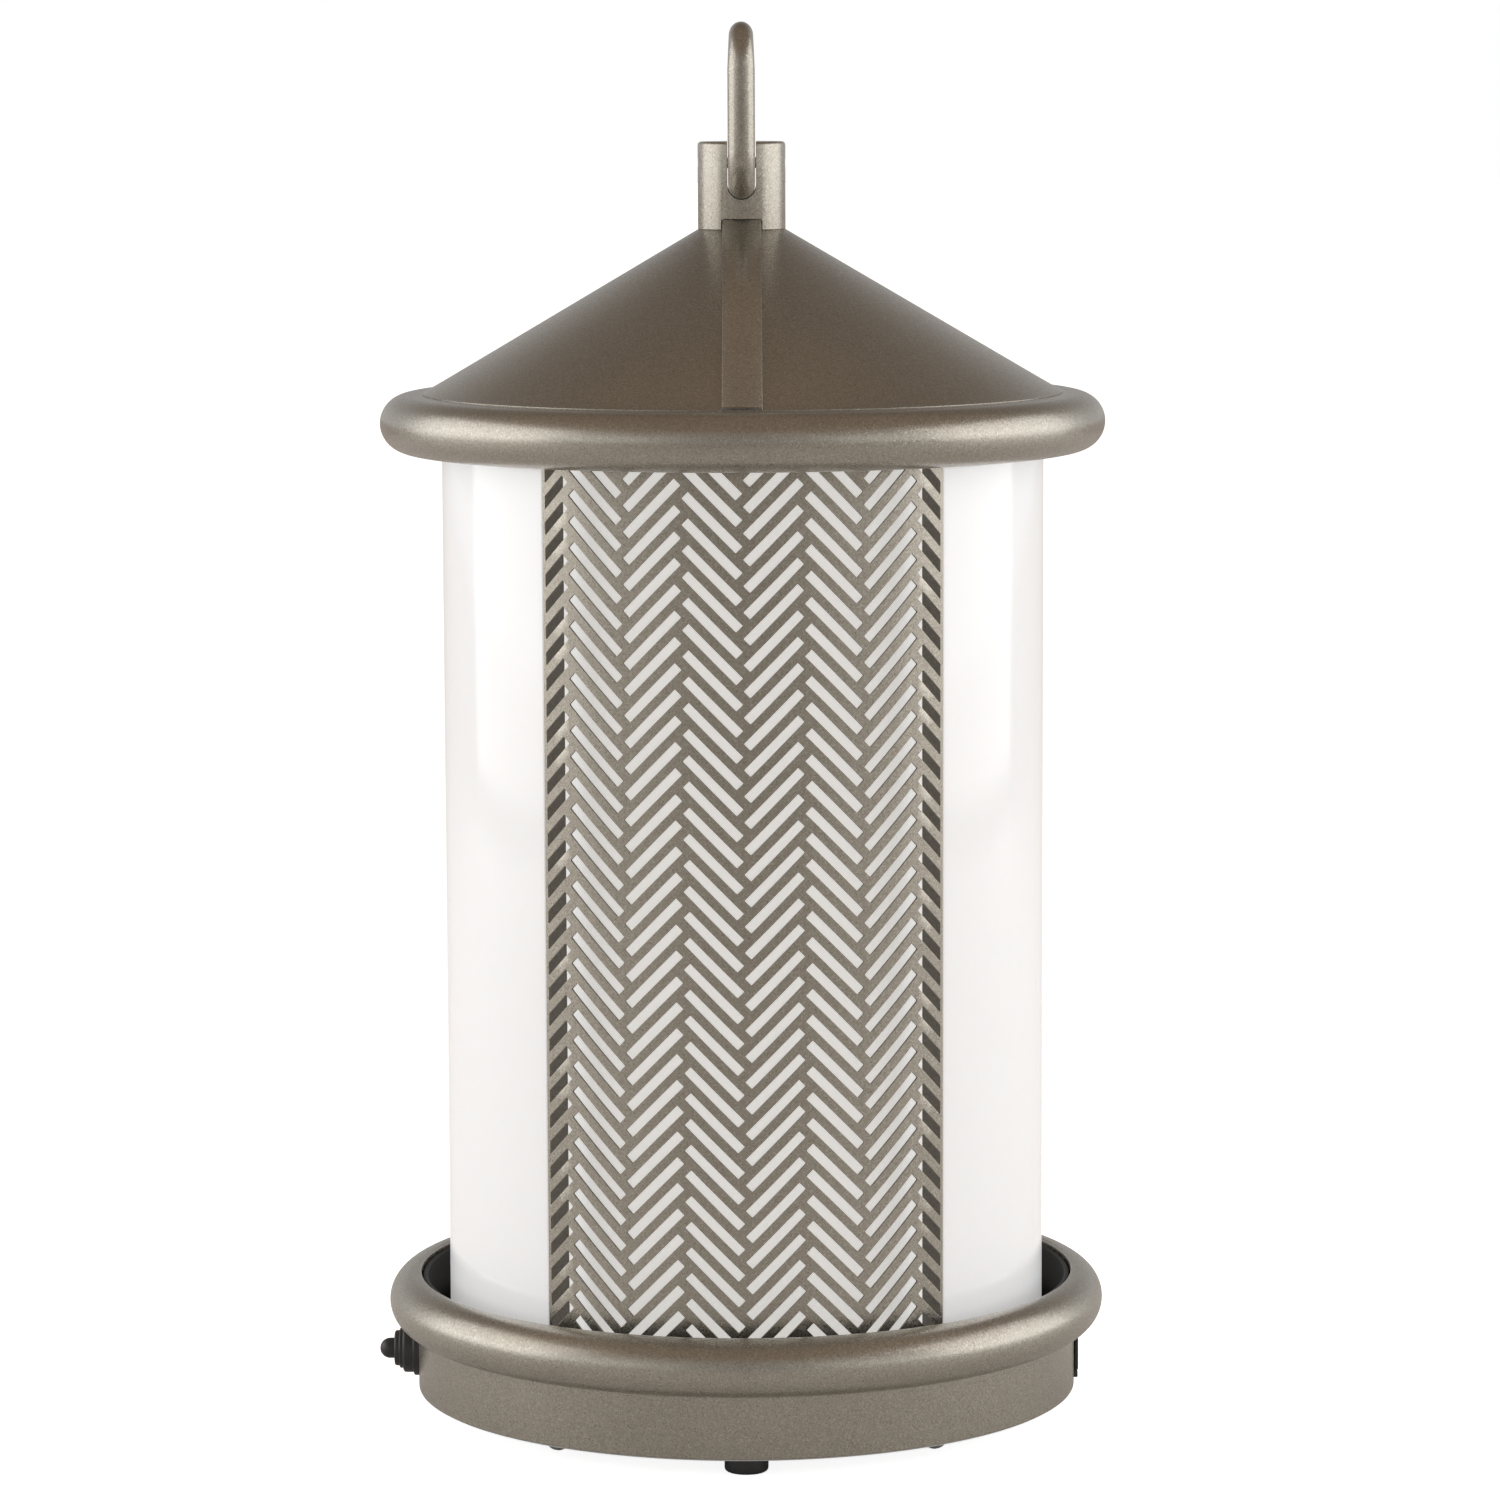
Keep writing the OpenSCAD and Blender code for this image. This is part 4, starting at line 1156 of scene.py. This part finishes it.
@dataclass
class HerringboneGrille(Assembly):
    """Curved punched sheet with folded side flanges, in millimetres and degrees."""

    radius: float = 99.5
    half_angle: float = 39.5
    low: float = 30.3
    high: float = 322.0
    thickness: float = 0.8
    slot_length: float = 24.1
    slot_width: float = 3.0
    column_angle: float = 11.15
    pitch: float = 8.24
    first_row: float = 42.4
    rows: int = 35
    columns: int = 8
    margin: float = 1.5
    band: float = 2.2
    flange: float = 9.5
    corner: float = 0.2
    step: float = 3.0
    edge: float = 0.08
    dressing: ClassVar[Sequence[tuple]] = (
        ("front", Body.HOUSING, PAINT, "front_grille"), ("rear", Body.HOUSING, PAINT, "rear_grille"))

    @property
    def half_arc(self) -> float:
        """Arc from the grille's middle to its side."""
        return math.radians(self.half_angle) * self.radius

    def edge_corners(self) -> list[Vector]:
        """Corners of a slot of the outermost left column, cut upright beside the margin."""
        centre = -math.radians(self.column_angle) * self.radius * (self.columns - 1) / 2
        cut_at = self.margin - self.half_arc - centre
        half_band = self.slot_width / math.sqrt(2)
        root = 2 * math.sqrt(2)
        long, short = (self.slot_length + self.slot_width) / root, (self.slot_length - self.slot_width) / root
        return [Vector((x, y, 0)) * MM for x, y in (
            (cut_at, cut_at - half_band), (long, short), (short, long), (cut_at, cut_at + half_band))]

    def sheet_tree(self) -> GeometryTree:
        """Geometry Nodes for the punched sheet.

        Returns:
            A tree that lays the slots out flat, fills round them, thickens the sheet and bends it.
        """
        t = GeometryTree("herringbone_sheet")
        radius = t.input("Radius", "Float", self.radius * MM)
        depth = t.input("Thickness", "Float", self.thickness * MM)
        half = t.input("Half arc", "Float", (self.half_arc - self.thickness) * MM)
        low = t.input("Low", "Float", (self.low - 20) * MM)
        high = t.input("High", "Float", (self.high + 20) * MM)
        length = t.input("Slot length", "Float", self.slot_length * MM)
        width = t.input("Slot width", "Float", self.slot_width * MM)
        corner = t.input("Slot corner", "Float", self.corner * MM)
        column_arc = t.input("Column arc", "Float", math.radians(self.column_angle) * self.radius * MM)
        pitch = t.input("Row pitch", "Float", self.pitch * MM)
        first = t.input("First row", "Float", self.first_row * MM)
        rows = t.input("Rows", "Int", self.rows)
        columns = t.input("Columns", "Int", self.columns)
        step = t.input("Longest step", "Float", self.step * MM)
        corners = [t.input(f"Edge corner {i + 1}", "Vector", p) for i, p in enumerate(self.edge_corners())]
        finish = t.input("Finish", "Material", PAINT.material)

        def filleted(curve: bpy.types.NodeSocket) -> bpy.types.NodeSocket:
            """Rounds a slot's corners."""
            node = t.add("GeometryNodeFilletCurve", {"Curve": curve, "Radius": corner, "Count": 2,
                                                     "Limit Radius": True}, mode="POLY")
            return node.outputs[0]

        def stepped(curve: bpy.types.NodeSocket) -> bpy.types.NodeSocket:
            """Splits segments that are longer than the longest step."""
            position = t.add("GeometryNodeInputPosition").outputs[0]
            ahead = t.add("GeometryNodeOffsetPointInCurve", {"Offset": 1}).outputs["Point Index"]
            there = t.add("GeometryNodeFieldAtIndex", {"Index": ahead, "Value": position},
                          data_type="FLOAT_VECTOR").outputs[0]
            span = t.add("ShaderNodeVectorMath", {0: position, 1: there}, operation="DISTANCE").outputs["Value"]
            cuts = t.math("FLOOR", t.math("DIVIDE", span, step))
            return t.add("GeometryNodeSubdivideCurve", {"Curve": curve, "Cuts": cuts}).outputs[0]

        whole = stepped(filleted(t.add("GeometryNodeCurvePrimitiveQuadrilateral",
                                       {"Width": length, "Height": width}, mode="RECTANGLE").outputs[0]))
        part = stepped(filleted(t.add("GeometryNodeCurvePrimitiveQuadrilateral",
                                      {f"Point {i + 1}": p for i, p in enumerate(corners)},
                                      mode="POINTS").outputs[0]))
        index = t.add("GeometryNodeInputIndex").outputs[0]
        column = t.math("FLOOR", t.math("DIVIDE", index, rows))
        row = t.math("SUBTRACT", index, t.math("MULTIPLY", column, rows))
        odd = t.math("MODULO", column, 2.0)
        last = t.math("SUBTRACT", columns, 1.0)
        u = t.math("MULTIPLY", t.math("SUBTRACT", column, t.math("MULTIPLY", last, 0.5)), column_arc)
        v = t.math("ADD", first, t.math("MULTIPLY", pitch, t.math("SUBTRACT", row, t.math("MULTIPLY", odd, 0.5))))
        points = t.add("GeometryNodePoints", {"Count": t.math("MULTIPLY", rows, columns)})
        laid = t.add("GeometryNodeSetPosition", {"Geometry": points.outputs[0], "Position": t.vector(u, v, 0.0)})
        sign = t.math("SUBTRACT", 1.0, t.math("MULTIPLY", odd, 2.0))
        lean = t.add("FunctionNodeEulerToRotation", {
            0: t.vector(0.0, 0.0, t.math("MULTIPLY", sign, math.radians(45)))}).outputs[0]
        inside = t.math("MULTIPLY", t.math("GREATER_THAN", column, 0.5),
                        t.math("LESS_THAN", column, t.math("SUBTRACT", last, 0.5)))
        full = t.add("GeometryNodeInstanceOnPoints", {
            "Points": laid.outputs[0], "Selection": inside, "Instance": whole, "Rotation": lean})
        ends = t.add("GeometryNodeInstanceOnPoints", {
            "Points": laid.outputs[0], "Selection": t.math("SUBTRACT", 1.0, inside), "Instance": part,
            "Scale": t.vector(sign, 1.0, 1.0)})
        border = stepped(t.add("GeometryNodeCurvePrimitiveQuadrilateral", {
            "Point 1": t.vector(t.math("MULTIPLY", half, -1.0), low, 0.0), "Point 2": t.vector(half, low, 0.0),
            "Point 3": t.vector(half, high, 0.0), "Point 4": t.vector(t.math("MULTIPLY", half, -1.0), high, 0.0)},
            mode="POINTS").outputs[0])
        curves = t.join(border, full.outputs[0], ends.outputs[0])
        flat = t.add("GeometryNodeFillCurve", {
            "Curve": t.add("GeometryNodeRealizeInstances", {"Geometry": curves}).outputs[0]}, mode="TRIANGLES")
        raised = t.add("GeometryNodeExtrudeMesh", {
            "Mesh": flat.outputs[0], "Offset": (0.0, 0.0, 1.0), "Offset Scale": depth, "Individual": False},
            mode="FACES")
        back = t.add("GeometryNodeFlipFaces", {"Mesh": flat.outputs[0]})
        solid = t.add("GeometryNodeMergeByDistance", {
            "Geometry": t.join(raised.outputs[0], back.outputs[0]), "Distance": 1e-6}).outputs[0]
        here = t.add("ShaderNodeSeparateXYZ", {0: t.add("GeometryNodeInputPosition").outputs[0]}).outputs
        angle = t.math("DIVIDE", here[0], radius)
        reach = t.math("ADD", t.math("SUBTRACT", radius, depth), here[2])
        x = t.math("MULTIPLY", reach, t.math("SINE", angle))
        y = t.math("MULTIPLY", t.math("MULTIPLY", reach, -1.0), t.math("COSINE", angle))
        bent = t.add("GeometryNodeSetPosition", {"Geometry": solid, "Position": t.vector(x, y, here[1])})
        t.finish(bent.outputs[0], finish)
        return t

    def trimmed(self, sheet: bpy.types.Object) -> bpy.types.Object:
        """Cuts the sheet to height and marks the slots' edges for rounding."""
        bm = bmesh.new()
        bm.from_mesh(sheet.data)
        for height, normal in ((self.low + self.band, -1), (self.high - self.band, 1)):
            made = bmesh.ops.bisect_plane(bm, geom=[*bm.verts, *bm.edges, *bm.faces], dist=1e-7,
                                          plane_co=(0, 0, height * MM), plane_no=(0, 0, normal), clear_outer=True)
            rim = [e for e in made["geom_cut"] if isinstance(e, bmesh.types.BMEdge)]
            bmesh.ops.edgenet_fill(bm, edges=rim)
        weight = bm.edges.layers.float.new("bevel_weight_edge")
        limit = (self.half_arc - self.thickness) / self.radius - 1e-4
        ends = ((self.low + self.band + 0.01) * MM, (self.high - self.band - 0.01) * MM)
        for edge in bm.edges:
            if len(edge.link_faces) != 2 or edge.calc_face_angle(0.0) < math.radians(40):
                continue
            inside = all(abs(math.atan2(v.co.x, -v.co.y)) < limit and ends[0] < v.co.z < ends[1] for v in edge.verts)
            edge[weight] = 1.0 if inside else 0.0
        bm.to_mesh(sheet.data)
        bm.free()
        step = sheet.modifiers.new("edges", "BEVEL")
        step.width = self.edge * MM
        step.segments = 2
        step.limit_method = "WEIGHT"
        step.use_clamp_overlap = True
        return baked(sheet, 20.0)

    def flange_outline(self, side: int) -> list[Point2]:
        """Plan outline of a folded flange, with its bend."""
        t = self.thickness
        corner = Vector(spot(self.radius, side * self.half_angle))
        inward = -corner.normalized()
        across = Vector(spot(1.0, side * (self.half_angle - 90)))
        centre = corner + t * inward + t * across
        bend = [centre - t * (math.cos(a) * inward + math.sin(a) * across)
                for a in (math.radians(90 * k / 6) for k in range(7))]
        outline = [*bend, corner + self.flange * inward, corner + self.flange * inward + t * across, centre]
        return [(p.x, p.y) for p in outline]

    def build(self, name: str) -> bpy.types.Object:
        """Builds one whole grille at the front."""
        sheet = self.trimmed(self.sheet_tree().run("sheet"))
        self.mark_walls(sheet)
        angle = math.degrees((self.half_arc - self.thickness) / self.radius)
        bands = [prism("band", sector_outline(self.radius - self.thickness, self.radius, -angle, angle, 64), a, b)
                 for a, b in ((self.low, self.low + self.band), (self.high - self.band, self.high))]
        flanges = [self.shadowed(prism("flange", self.flange_outline(side), self.low, self.high))
                   for side in (-1, 1)]
        return joined(name, [sheet, *bands, *flanges], 20.0)

    def mark_walls(self, sheet: bpy.types.Object) -> None:
        """Gives the slots' punched walls a painted shadow, the darker second paint, and the rest of the sheet the
        full coat.
        """
        for face in sheet.data.polygons:
            outward = Vector((face.center.x, face.center.y, 0)).normalized()
            face.material_index = 1 if abs(face.normal.dot(outward)) < 0.3 else 0

    def shadowed(self, flange: bpy.types.Object) -> bpy.types.Object:
        """Paints shadow on a flange's inner side with the darker second paint."""
        for face in flange.data.polygons:
            middle = face.center / MM
            inside = math.hypot(middle.x, middle.y) < self.radius - self.thickness - 0.01
            toward = abs(math.degrees(math.atan2(middle.x, -middle.y))) < self.half_angle - 0.05
            face.material_index = 1 if inside and toward else 0
        return flange

    def mesh(self) -> None:
        """Builds the front grille and its twin at the rear."""
        front = self.build("grille_front")
        self.pieces = {"front": front, "rear": rear_twin(front, "grille_rear")}

    def dress(self) -> None:
        """Finishes both grilles, with the painted-shadow paint as their second material."""
        super().dress()
        for piece in self.pieces.values():
            piece.data.materials.append(SHADOW_PAINT)


@dataclass
class WhitePanels(Assembly):
    """Glossy side shades and the white liners behind the grilles, in millimetres and degrees."""

    shade_radius: float = 98.5
    shade_thickness: float = 2.0
    shade_start: float = 39.9
    liner_radius: float = 84.0
    liner_thickness: float = 1.5
    liner_half: float = 46.0
    low: float = 30.3
    high: float = 322.0
    dressing: ClassVar[Sequence[tuple]] = (
        ("right", Body.HOUSING, SHADE, "shade_right"), ("left", Body.HOUSING, SHADE, "shade_left"),
        ("front", Body.HOUSING, LINER, "front_liner"), ("rear", Body.HOUSING, LINER, "rear_liner"))
    kept: ClassVar[Sequence[tuple[str, Finish]]] = (
        ("lower_ring", MOULDING), ("upper_ring", MOULDING), ("top_plate", ZINC), ("tie_rods", ZINC),
        ("tie_rod_nuts", ZINC), ("hub_bolt", ZINC))

    def mesh(self) -> None:
        """Builds two shades and two liners."""
        slab = sector_outline(self.shade_radius - self.shade_thickness, self.shade_radius,
                              self.shade_start, 180 - self.shade_start, 72)
        for name, side in (("right", 0), ("left", 180)):
            shade = place(prism(f"shade_panel_{name}", slab, self.low, self.high), turn(side, "Z"))
            self.pieces[name] = bevelled(shade, 0.5, 3)
        sheet = sector_outline(self.liner_radius - self.liner_thickness, self.liner_radius,
                               -self.liner_half, self.liner_half, 64)
        for name, side in (("front", 0), ("rear", 180)):
            self.pieces[name] = place(prism(f"liner_sheet_{name}", sheet, self.low, self.high), turn(side, "Z"))


@dataclass
class Roof(Assembly):
    """Rolled rim, spun cone and the two straps, in millimetres."""

    rim_radius: float = 109.3
    bead_radius: float = 9.3
    bead_height: float = 327.5
    sheet: float = 1.2
    step_radius: float = 100.2
    foot_radius: float = 87.0
    foot_low: float = 329.6
    cone_radius: float = 101.5
    cone_rise: float = 0.588
    cone_peak: float = 398.4
    cone_sheet: float = 1.4
    flare_run: float = 6.0
    flare_out: float = 3.2
    flare_edge: float = 0.3
    hub_radius: float = 14.3
    strap_half: float = 6.2
    strap_lift: float = 3.37
    strap_tip: float = 1.3
    strap_draft: float = 0.3
    strap_chamfer: float = 0.5
    strap_inner: float = 11.0
    dressing: ClassVar[Sequence[tuple]] = (
        ("rim", Body.HOUSING, PAINT, "roof_rim"),
        ("cone", Body.HOUSING, PAINT, "roof_cone"),
        ("front", Body.HOUSING, PAINT, "front_strap"),
        ("rear", Body.HOUSING, PAINT, "rear_strap"),
    )

    @property
    def top(self) -> float:
        """Height of the rim's flat top."""
        return self.bead_height + self.bead_radius

    def cone_z(self, radius: float) -> float:
        """Height of the cone's outer surface at a radius."""
        return self.cone_peak - self.cone_rise * radius

    def rim(self) -> bpy.types.Object:
        """One sheet: bottom flange, half-round bead, flat top, step and foot."""
        r, t, z, high = self.rim_radius, self.sheet, self.bead_height, self.top
        low, wall = z - self.bead_radius, self.step_radius - t
        outline = [(101, low), *arc((r, z), self.bead_radius, -90, 84, 44)]
        outline += rounded([(r - 0.6, high), (wall, high, 1.0), (wall, self.foot_low + t, 0.5),
                            (self.foot_radius, self.foot_low + t), (self.foot_radius, self.foot_low),
                            (self.step_radius, self.foot_low, 1.0), (self.step_radius, high - t, 0.3),
                            (r, high - t)])
        outline += arc((r, z), self.bead_radius - t, 88, -90, 30)
        outline += [(101, low + t)]
        return lathe("roof_rolled_rim", outline, 288)

    def flare(self) -> list[Point2]:
        """The curve in which the cone turns out over the rim's flat top."""
        start, bend = self.cone_radius - self.flare_run, self.cone_radius + self.flare_out / 2
        a, b = Vector((start, self.cone_z(start))), Vector((bend, self.cone_z(bend)))
        c = Vector((self.cone_radius + self.flare_out, self.top + self.flare_edge))
        return [tuple((1 - u) ** 2 * a + 2 * u * (1 - u) * b + u * u * c) for u in (k / 10 for k in range(11))]

    def cone(self) -> bpy.types.Object:
        """Spun cone whose edge turns out over the rim."""
        r, t, top = self.cone_radius, self.sheet, self.cone_z(self.hub_radius)
        return lathe("roof_spun_cone", [
            (2.6, top), (self.hub_radius, top), *self.flare(), (r + self.flare_out, self.top + 0.05),
            (r - t, self.top + 0.05), (r - t, self.cone_z(r) - self.cone_sheet),
            (self.hub_radius, top - self.cone_sheet), (2.6, top - self.cone_sheet)], 288)

    def strap(self, name: str, side: float) -> bpy.types.Object:
        """A flat strap lying down the cone to its edge, thinner towards its end."""
        outer, inner = self.cone_radius + self.flare_out - 0.5, self.strap_inner
        head = self.cone_z(self.hub_radius) + self.strap_lift
        side_view = rounded([(inner, self.cone_z(inner) - 1.6), (inner, head),
                             (self.hub_radius, head), (outer, self.top + self.strap_tip),
                             (outer, self.top + 0.05), (outer - 3, self.top + 0.05),
                             (outer - 3, self.cone_z(outer) - 0.4)])
        strap = prism(name, side_view, -self.strap_half, self.strap_half)
        place(strap, turn(-90, "Z") @ turn(90, "X"))
        for vert in strap.data.vertices:
            if vert.co.z < (self.cone_z(abs(vert.co.y) / MM) + 0.5) * MM:
                vert.co.x *= 1 + self.strap_draft / self.strap_half
        strap = bevelled(strap, self.strap_chamfer, 1, 60)
        # Painted shadow: the strap's sides and its end face take the darker second paint.
        strap.data.materials.append(PAINT.material)
        strap.data.materials.append(SHADOW_PAINT)
        for face in strap.data.polygons:
            face.material_index = 1 if abs(face.normal.x) > 0.9 or face.normal.y < -0.9 else 0
        return place(strap, turn(side, "Z"))

    def mesh(self) -> None:
        """Builds rim, cone and straps."""
        self.pieces = {"rim": self.rim(), "cone": self.cone(),
                       "front": self.strap("roof_strap_front", 0), "rear": self.strap("roof_strap_rear", 180)}


@dataclass
class Hanger(Assembly):
    """Slotted hub, cross pin and the closed loop that turns in the slot, in millimetres."""

    hub_radius: float = 14.3
    hub_low: float = 390.0
    hub_top: float = 418.4
    notch_half: float = 4.7
    axis_height: float = 404.5
    strap_gap: float = 13.4
    strap_gap_top: float = 393.6
    pin_radius: float = 1.75
    pin_height: float = 411.5
    bar: float = 8.8
    top_bar: float = 7.9
    loop_half: float = 25.6
    loop_height: float = 48.1
    loop_bend: float = 11.0
    dressing: ClassVar[Sequence[tuple]] = (
        ("hub", Body.HOUSING, PAINT, "hub"),
        ("pin", Body.HOUSING, CHROME, "loop_pin"),
        ("loop", Body.LOOP, PAINT, "hanging_loop"),
    )

    def hub(self) -> bpy.types.Object:
        """Turned hub with a U slot from front to back, strap notches and a pin hole."""
        r, low, high, axis = self.hub_radius, self.hub_low, self.hub_top, self.axis_height
        body = lathe("hub_turned", rounded([(0, low), (r, low, 0.3), (r, high, 1.2), (0, high)], 6), 192)
        slot = [*arc((0, axis), self.notch_half, 180, 360, 24), (self.notch_half, high + 8),
                (-self.notch_half, high + 8)]
        half, top = self.strap_gap / 2, self.strap_gap_top
        mouth = rounded([(-half, low - 2), (half, low - 2), (half, top, 1.0), (-half, top, 1.0)])
        cutters = [place(prism("slot", slot, -20, 20), turn(90, "X"))]
        cutters += [place(prism("mouth", mouth, a, b), turn(90, "X")) for a, b in ((10.7, 16), (-16, -10.7))]
        hole = self.pin_radius + 0.05
        cutters += [along_x(lathe("hole", [(0, -20), (hole, -20), (hole, 20), (0, 20)], 32), self.pin_height, 1)]
        return bevelled(cut(body, cutters), 0.4, 3)

    def loop(self) -> bpy.types.Object:
        """Closed loop of round bar, a little slimmer across its top."""
        half, high, bend = self.loop_half, self.loop_height, self.loop_bend
        path = rounded([(half, 0, bend), (half, high, bend), (-half, high, bend), (-half, 0, bend)], 14)
        rings = []
        for i, (y, z) in enumerate(path):
            back, ahead = path[i - 1], path[(i + 1) % len(path)]
            along = Vector((0, ahead[0] - back[0], ahead[1] - back[1])).normalized()
            across = Vector((0, along.z, -along.y))
            rise = min(max((z - high + bend) / bend, 0.0), 1.0)
            wide = (self.bar + (self.top_bar - self.bar) * rise) / 2
            rings.append([(Vector((0, y, z + self.axis_height)) + wide * math.cos(a) * Vector((1, 0, 0))
                           + self.bar / 2 * math.sin(a) * across) * MM
                          for a in (2 * math.pi * k / 40 for k in range(40))])
        return sweep("loop_round_bar", rings, closed=True)

    def mesh(self) -> None:
        """Builds hub, pin and loop."""
        r, end = self.pin_radius, self.hub_radius - 0.4
        pin = lathe("loop_cross_pin", rounded([(0, -end), (r, -end, 0.4), (r, end, 0.4), (0, end)]), 32)
        self.pieces = {"hub": self.hub(), "pin": along_x(pin, self.pin_height, 1), "loop": self.loop()}


# ---------------------------------------------------------------- studio


@dataclass(frozen=True)
class Studio:
    """White floor, soft boxes, world light and the camera, in metres and degrees."""

    camera_at: Color = (0.002, -1.8246, 0.4418)
    pitch: float = -6.97
    roll: float = -0.23
    lens: float = 133.7
    floor_size: float = 40.0
    floor_tone: Color = (0.93, 0.93, 0.93)
    floor_glow: float = 0.87
    box_power: float = 9.6
    overhead: Color = (0.27, 0.205, 0.155)
    backdrop: float = 0.5

    def floor(self) -> None:
        """Lays a plain pale floor."""
        bm = bmesh.new()
        half = self.floor_size / 2
        bm.faces.new([bm.verts.new((x * half, y * half, 0)) for x, y in ((-1, -1), (1, -1), (1, 1), (-1, 1))])
        floor = make_object("floor", bm)
        mat, b, shader = blank_material("pale_floor")
        shader.inputs["Base Color"].default_value = opaque(self.floor_tone)
        shader.inputs["Roughness"].default_value = 0.6
        shader.inputs["Emission Color"].default_value = opaque((1.0, 1.0, 1.0))
        seen = b.add("ShaderNodeLightPath").outputs["Is Camera Ray"]
        b.tree.links.new(b.math("MULTIPLY", seen, self.floor_glow), shader.inputs["Emission Strength"])
        dress(floor, mat)

    def soft_box(self, name: str, at: Color, size: Point2, power: float) -> None:
        """Hangs a rectangular light that faces the object's middle."""
        data = bpy.data.lights.new(name, "AREA")
        data.shape = "RECTANGLE"
        data.size, data.size_y = size
        data.energy = power
        lamp = bpy.data.objects.new(name, data)
        lamp.location = at
        lamp.rotation_euler = (Vector(at) - Vector((0, 0, 0.22))).to_track_quat("Z", "Y").to_euler()
        bpy.context.scene.collection.objects.link(lamp)

    def world(self) -> None:
        """Light from all round: bright level with the object, dimmer overhead, in front and behind."""
        world = bpy.data.worlds.new("studio")
        world.use_nodes = True
        world.node_tree.nodes.clear()
        bpy.context.scene.world = world
        b = TreeBuilder(world.node_tree)
        way = b.add("ShaderNodeSeparateXYZ", {0: b.add("ShaderNodeTexCoord").outputs["Generated"]}).outputs
        height = b.add("ShaderNodeMapRange", {"Value": way[2], "From Min": 0.05, "From Max": 0.75},
                       interpolation_type="SMOOTHSTEP")
        front = b.add("ShaderNodeMapRange", {"Value": way[1], "From Min": -0.99, "From Max": -0.75,
                                             "To Min": 0.42, "To Max": 1.1}, interpolation_type="SMOOTHSTEP")
        tone = b.add("ShaderNodeMix", {"Factor": height.outputs[0], 6: opaque((1.0, 1.0, 1.0)),
                                       7: opaque(self.overhead)}, data_type="RGBA")
        behind = b.add("ShaderNodeMapRange", {"Value": way[1], "From Min": 0.2, "From Max": 0.85,
                                              "To Min": 1.0, "To Max": self.backdrop},
                       interpolation_type="SMOOTHSTEP")
        strength = b.math("MULTIPLY", front.outputs[0], behind.outputs[0])
        lit = b.add("ShaderNodeBackground", {"Color": tone.outputs[2], "Strength": strength})
        seen = b.add("ShaderNodeBackground", {"Color": (1.0, 1.0, 1.0, 1.0), "Strength": 1.0})
        direct = b.add("ShaderNodeLightPath").outputs["Is Camera Ray"]
        mix = b.add("ShaderNodeMixShader", {0: direct, 1: lit.outputs[0], 2: seen.outputs[0]})
        b.add("ShaderNodeOutputWorld", {"Surface": mix.outputs[0]})

    def camera(self) -> None:
        """Sets the camera in front of the object, looking slightly down."""
        data = bpy.data.cameras.new("camera")
        data.lens = self.lens
        data.sensor_width = 36.0
        camera = bpy.data.objects.new("camera", data)
        aim = turn(90 + self.pitch, "X") @ turn(self.roll, "Z")
        camera.matrix_world = Matrix.Translation(self.camera_at) @ aim
        bpy.context.scene.collection.objects.link(camera)
        bpy.context.scene.camera = camera

    def build(self) -> None:
        """Sets the whole stage."""
        self.floor()
        for side, name in ((-1, "soft_box_left"), (1, "soft_box_right")):
            self.soft_box(name, (side * 1.5, 0.05, 0.68), (1.8, 1.3), self.box_power)
        self.world()
        self.camera()
        scene = bpy.context.scene
        scene.view_settings.view_transform = "Standard"
        scene.view_settings.look = "None"


def main() -> None:
    """Builds every sub-assembly in order, then the stage."""
    logging.basicConfig(level=logging.INFO, format="%(message)s")
    for assembly in (RolledBase(), PushSwitch(), ChargePort(), LampAndCage(), CatchTray(), HerringboneGrille(),
                     WhitePanels(), Roof(), Hanger(), Electrics()):
        LOG.info("-- %s", type(assembly).__name__)
        assembly.mesh()
        assembly.dress()
    Studio().build()


if __name__ == "__main__":
    main()
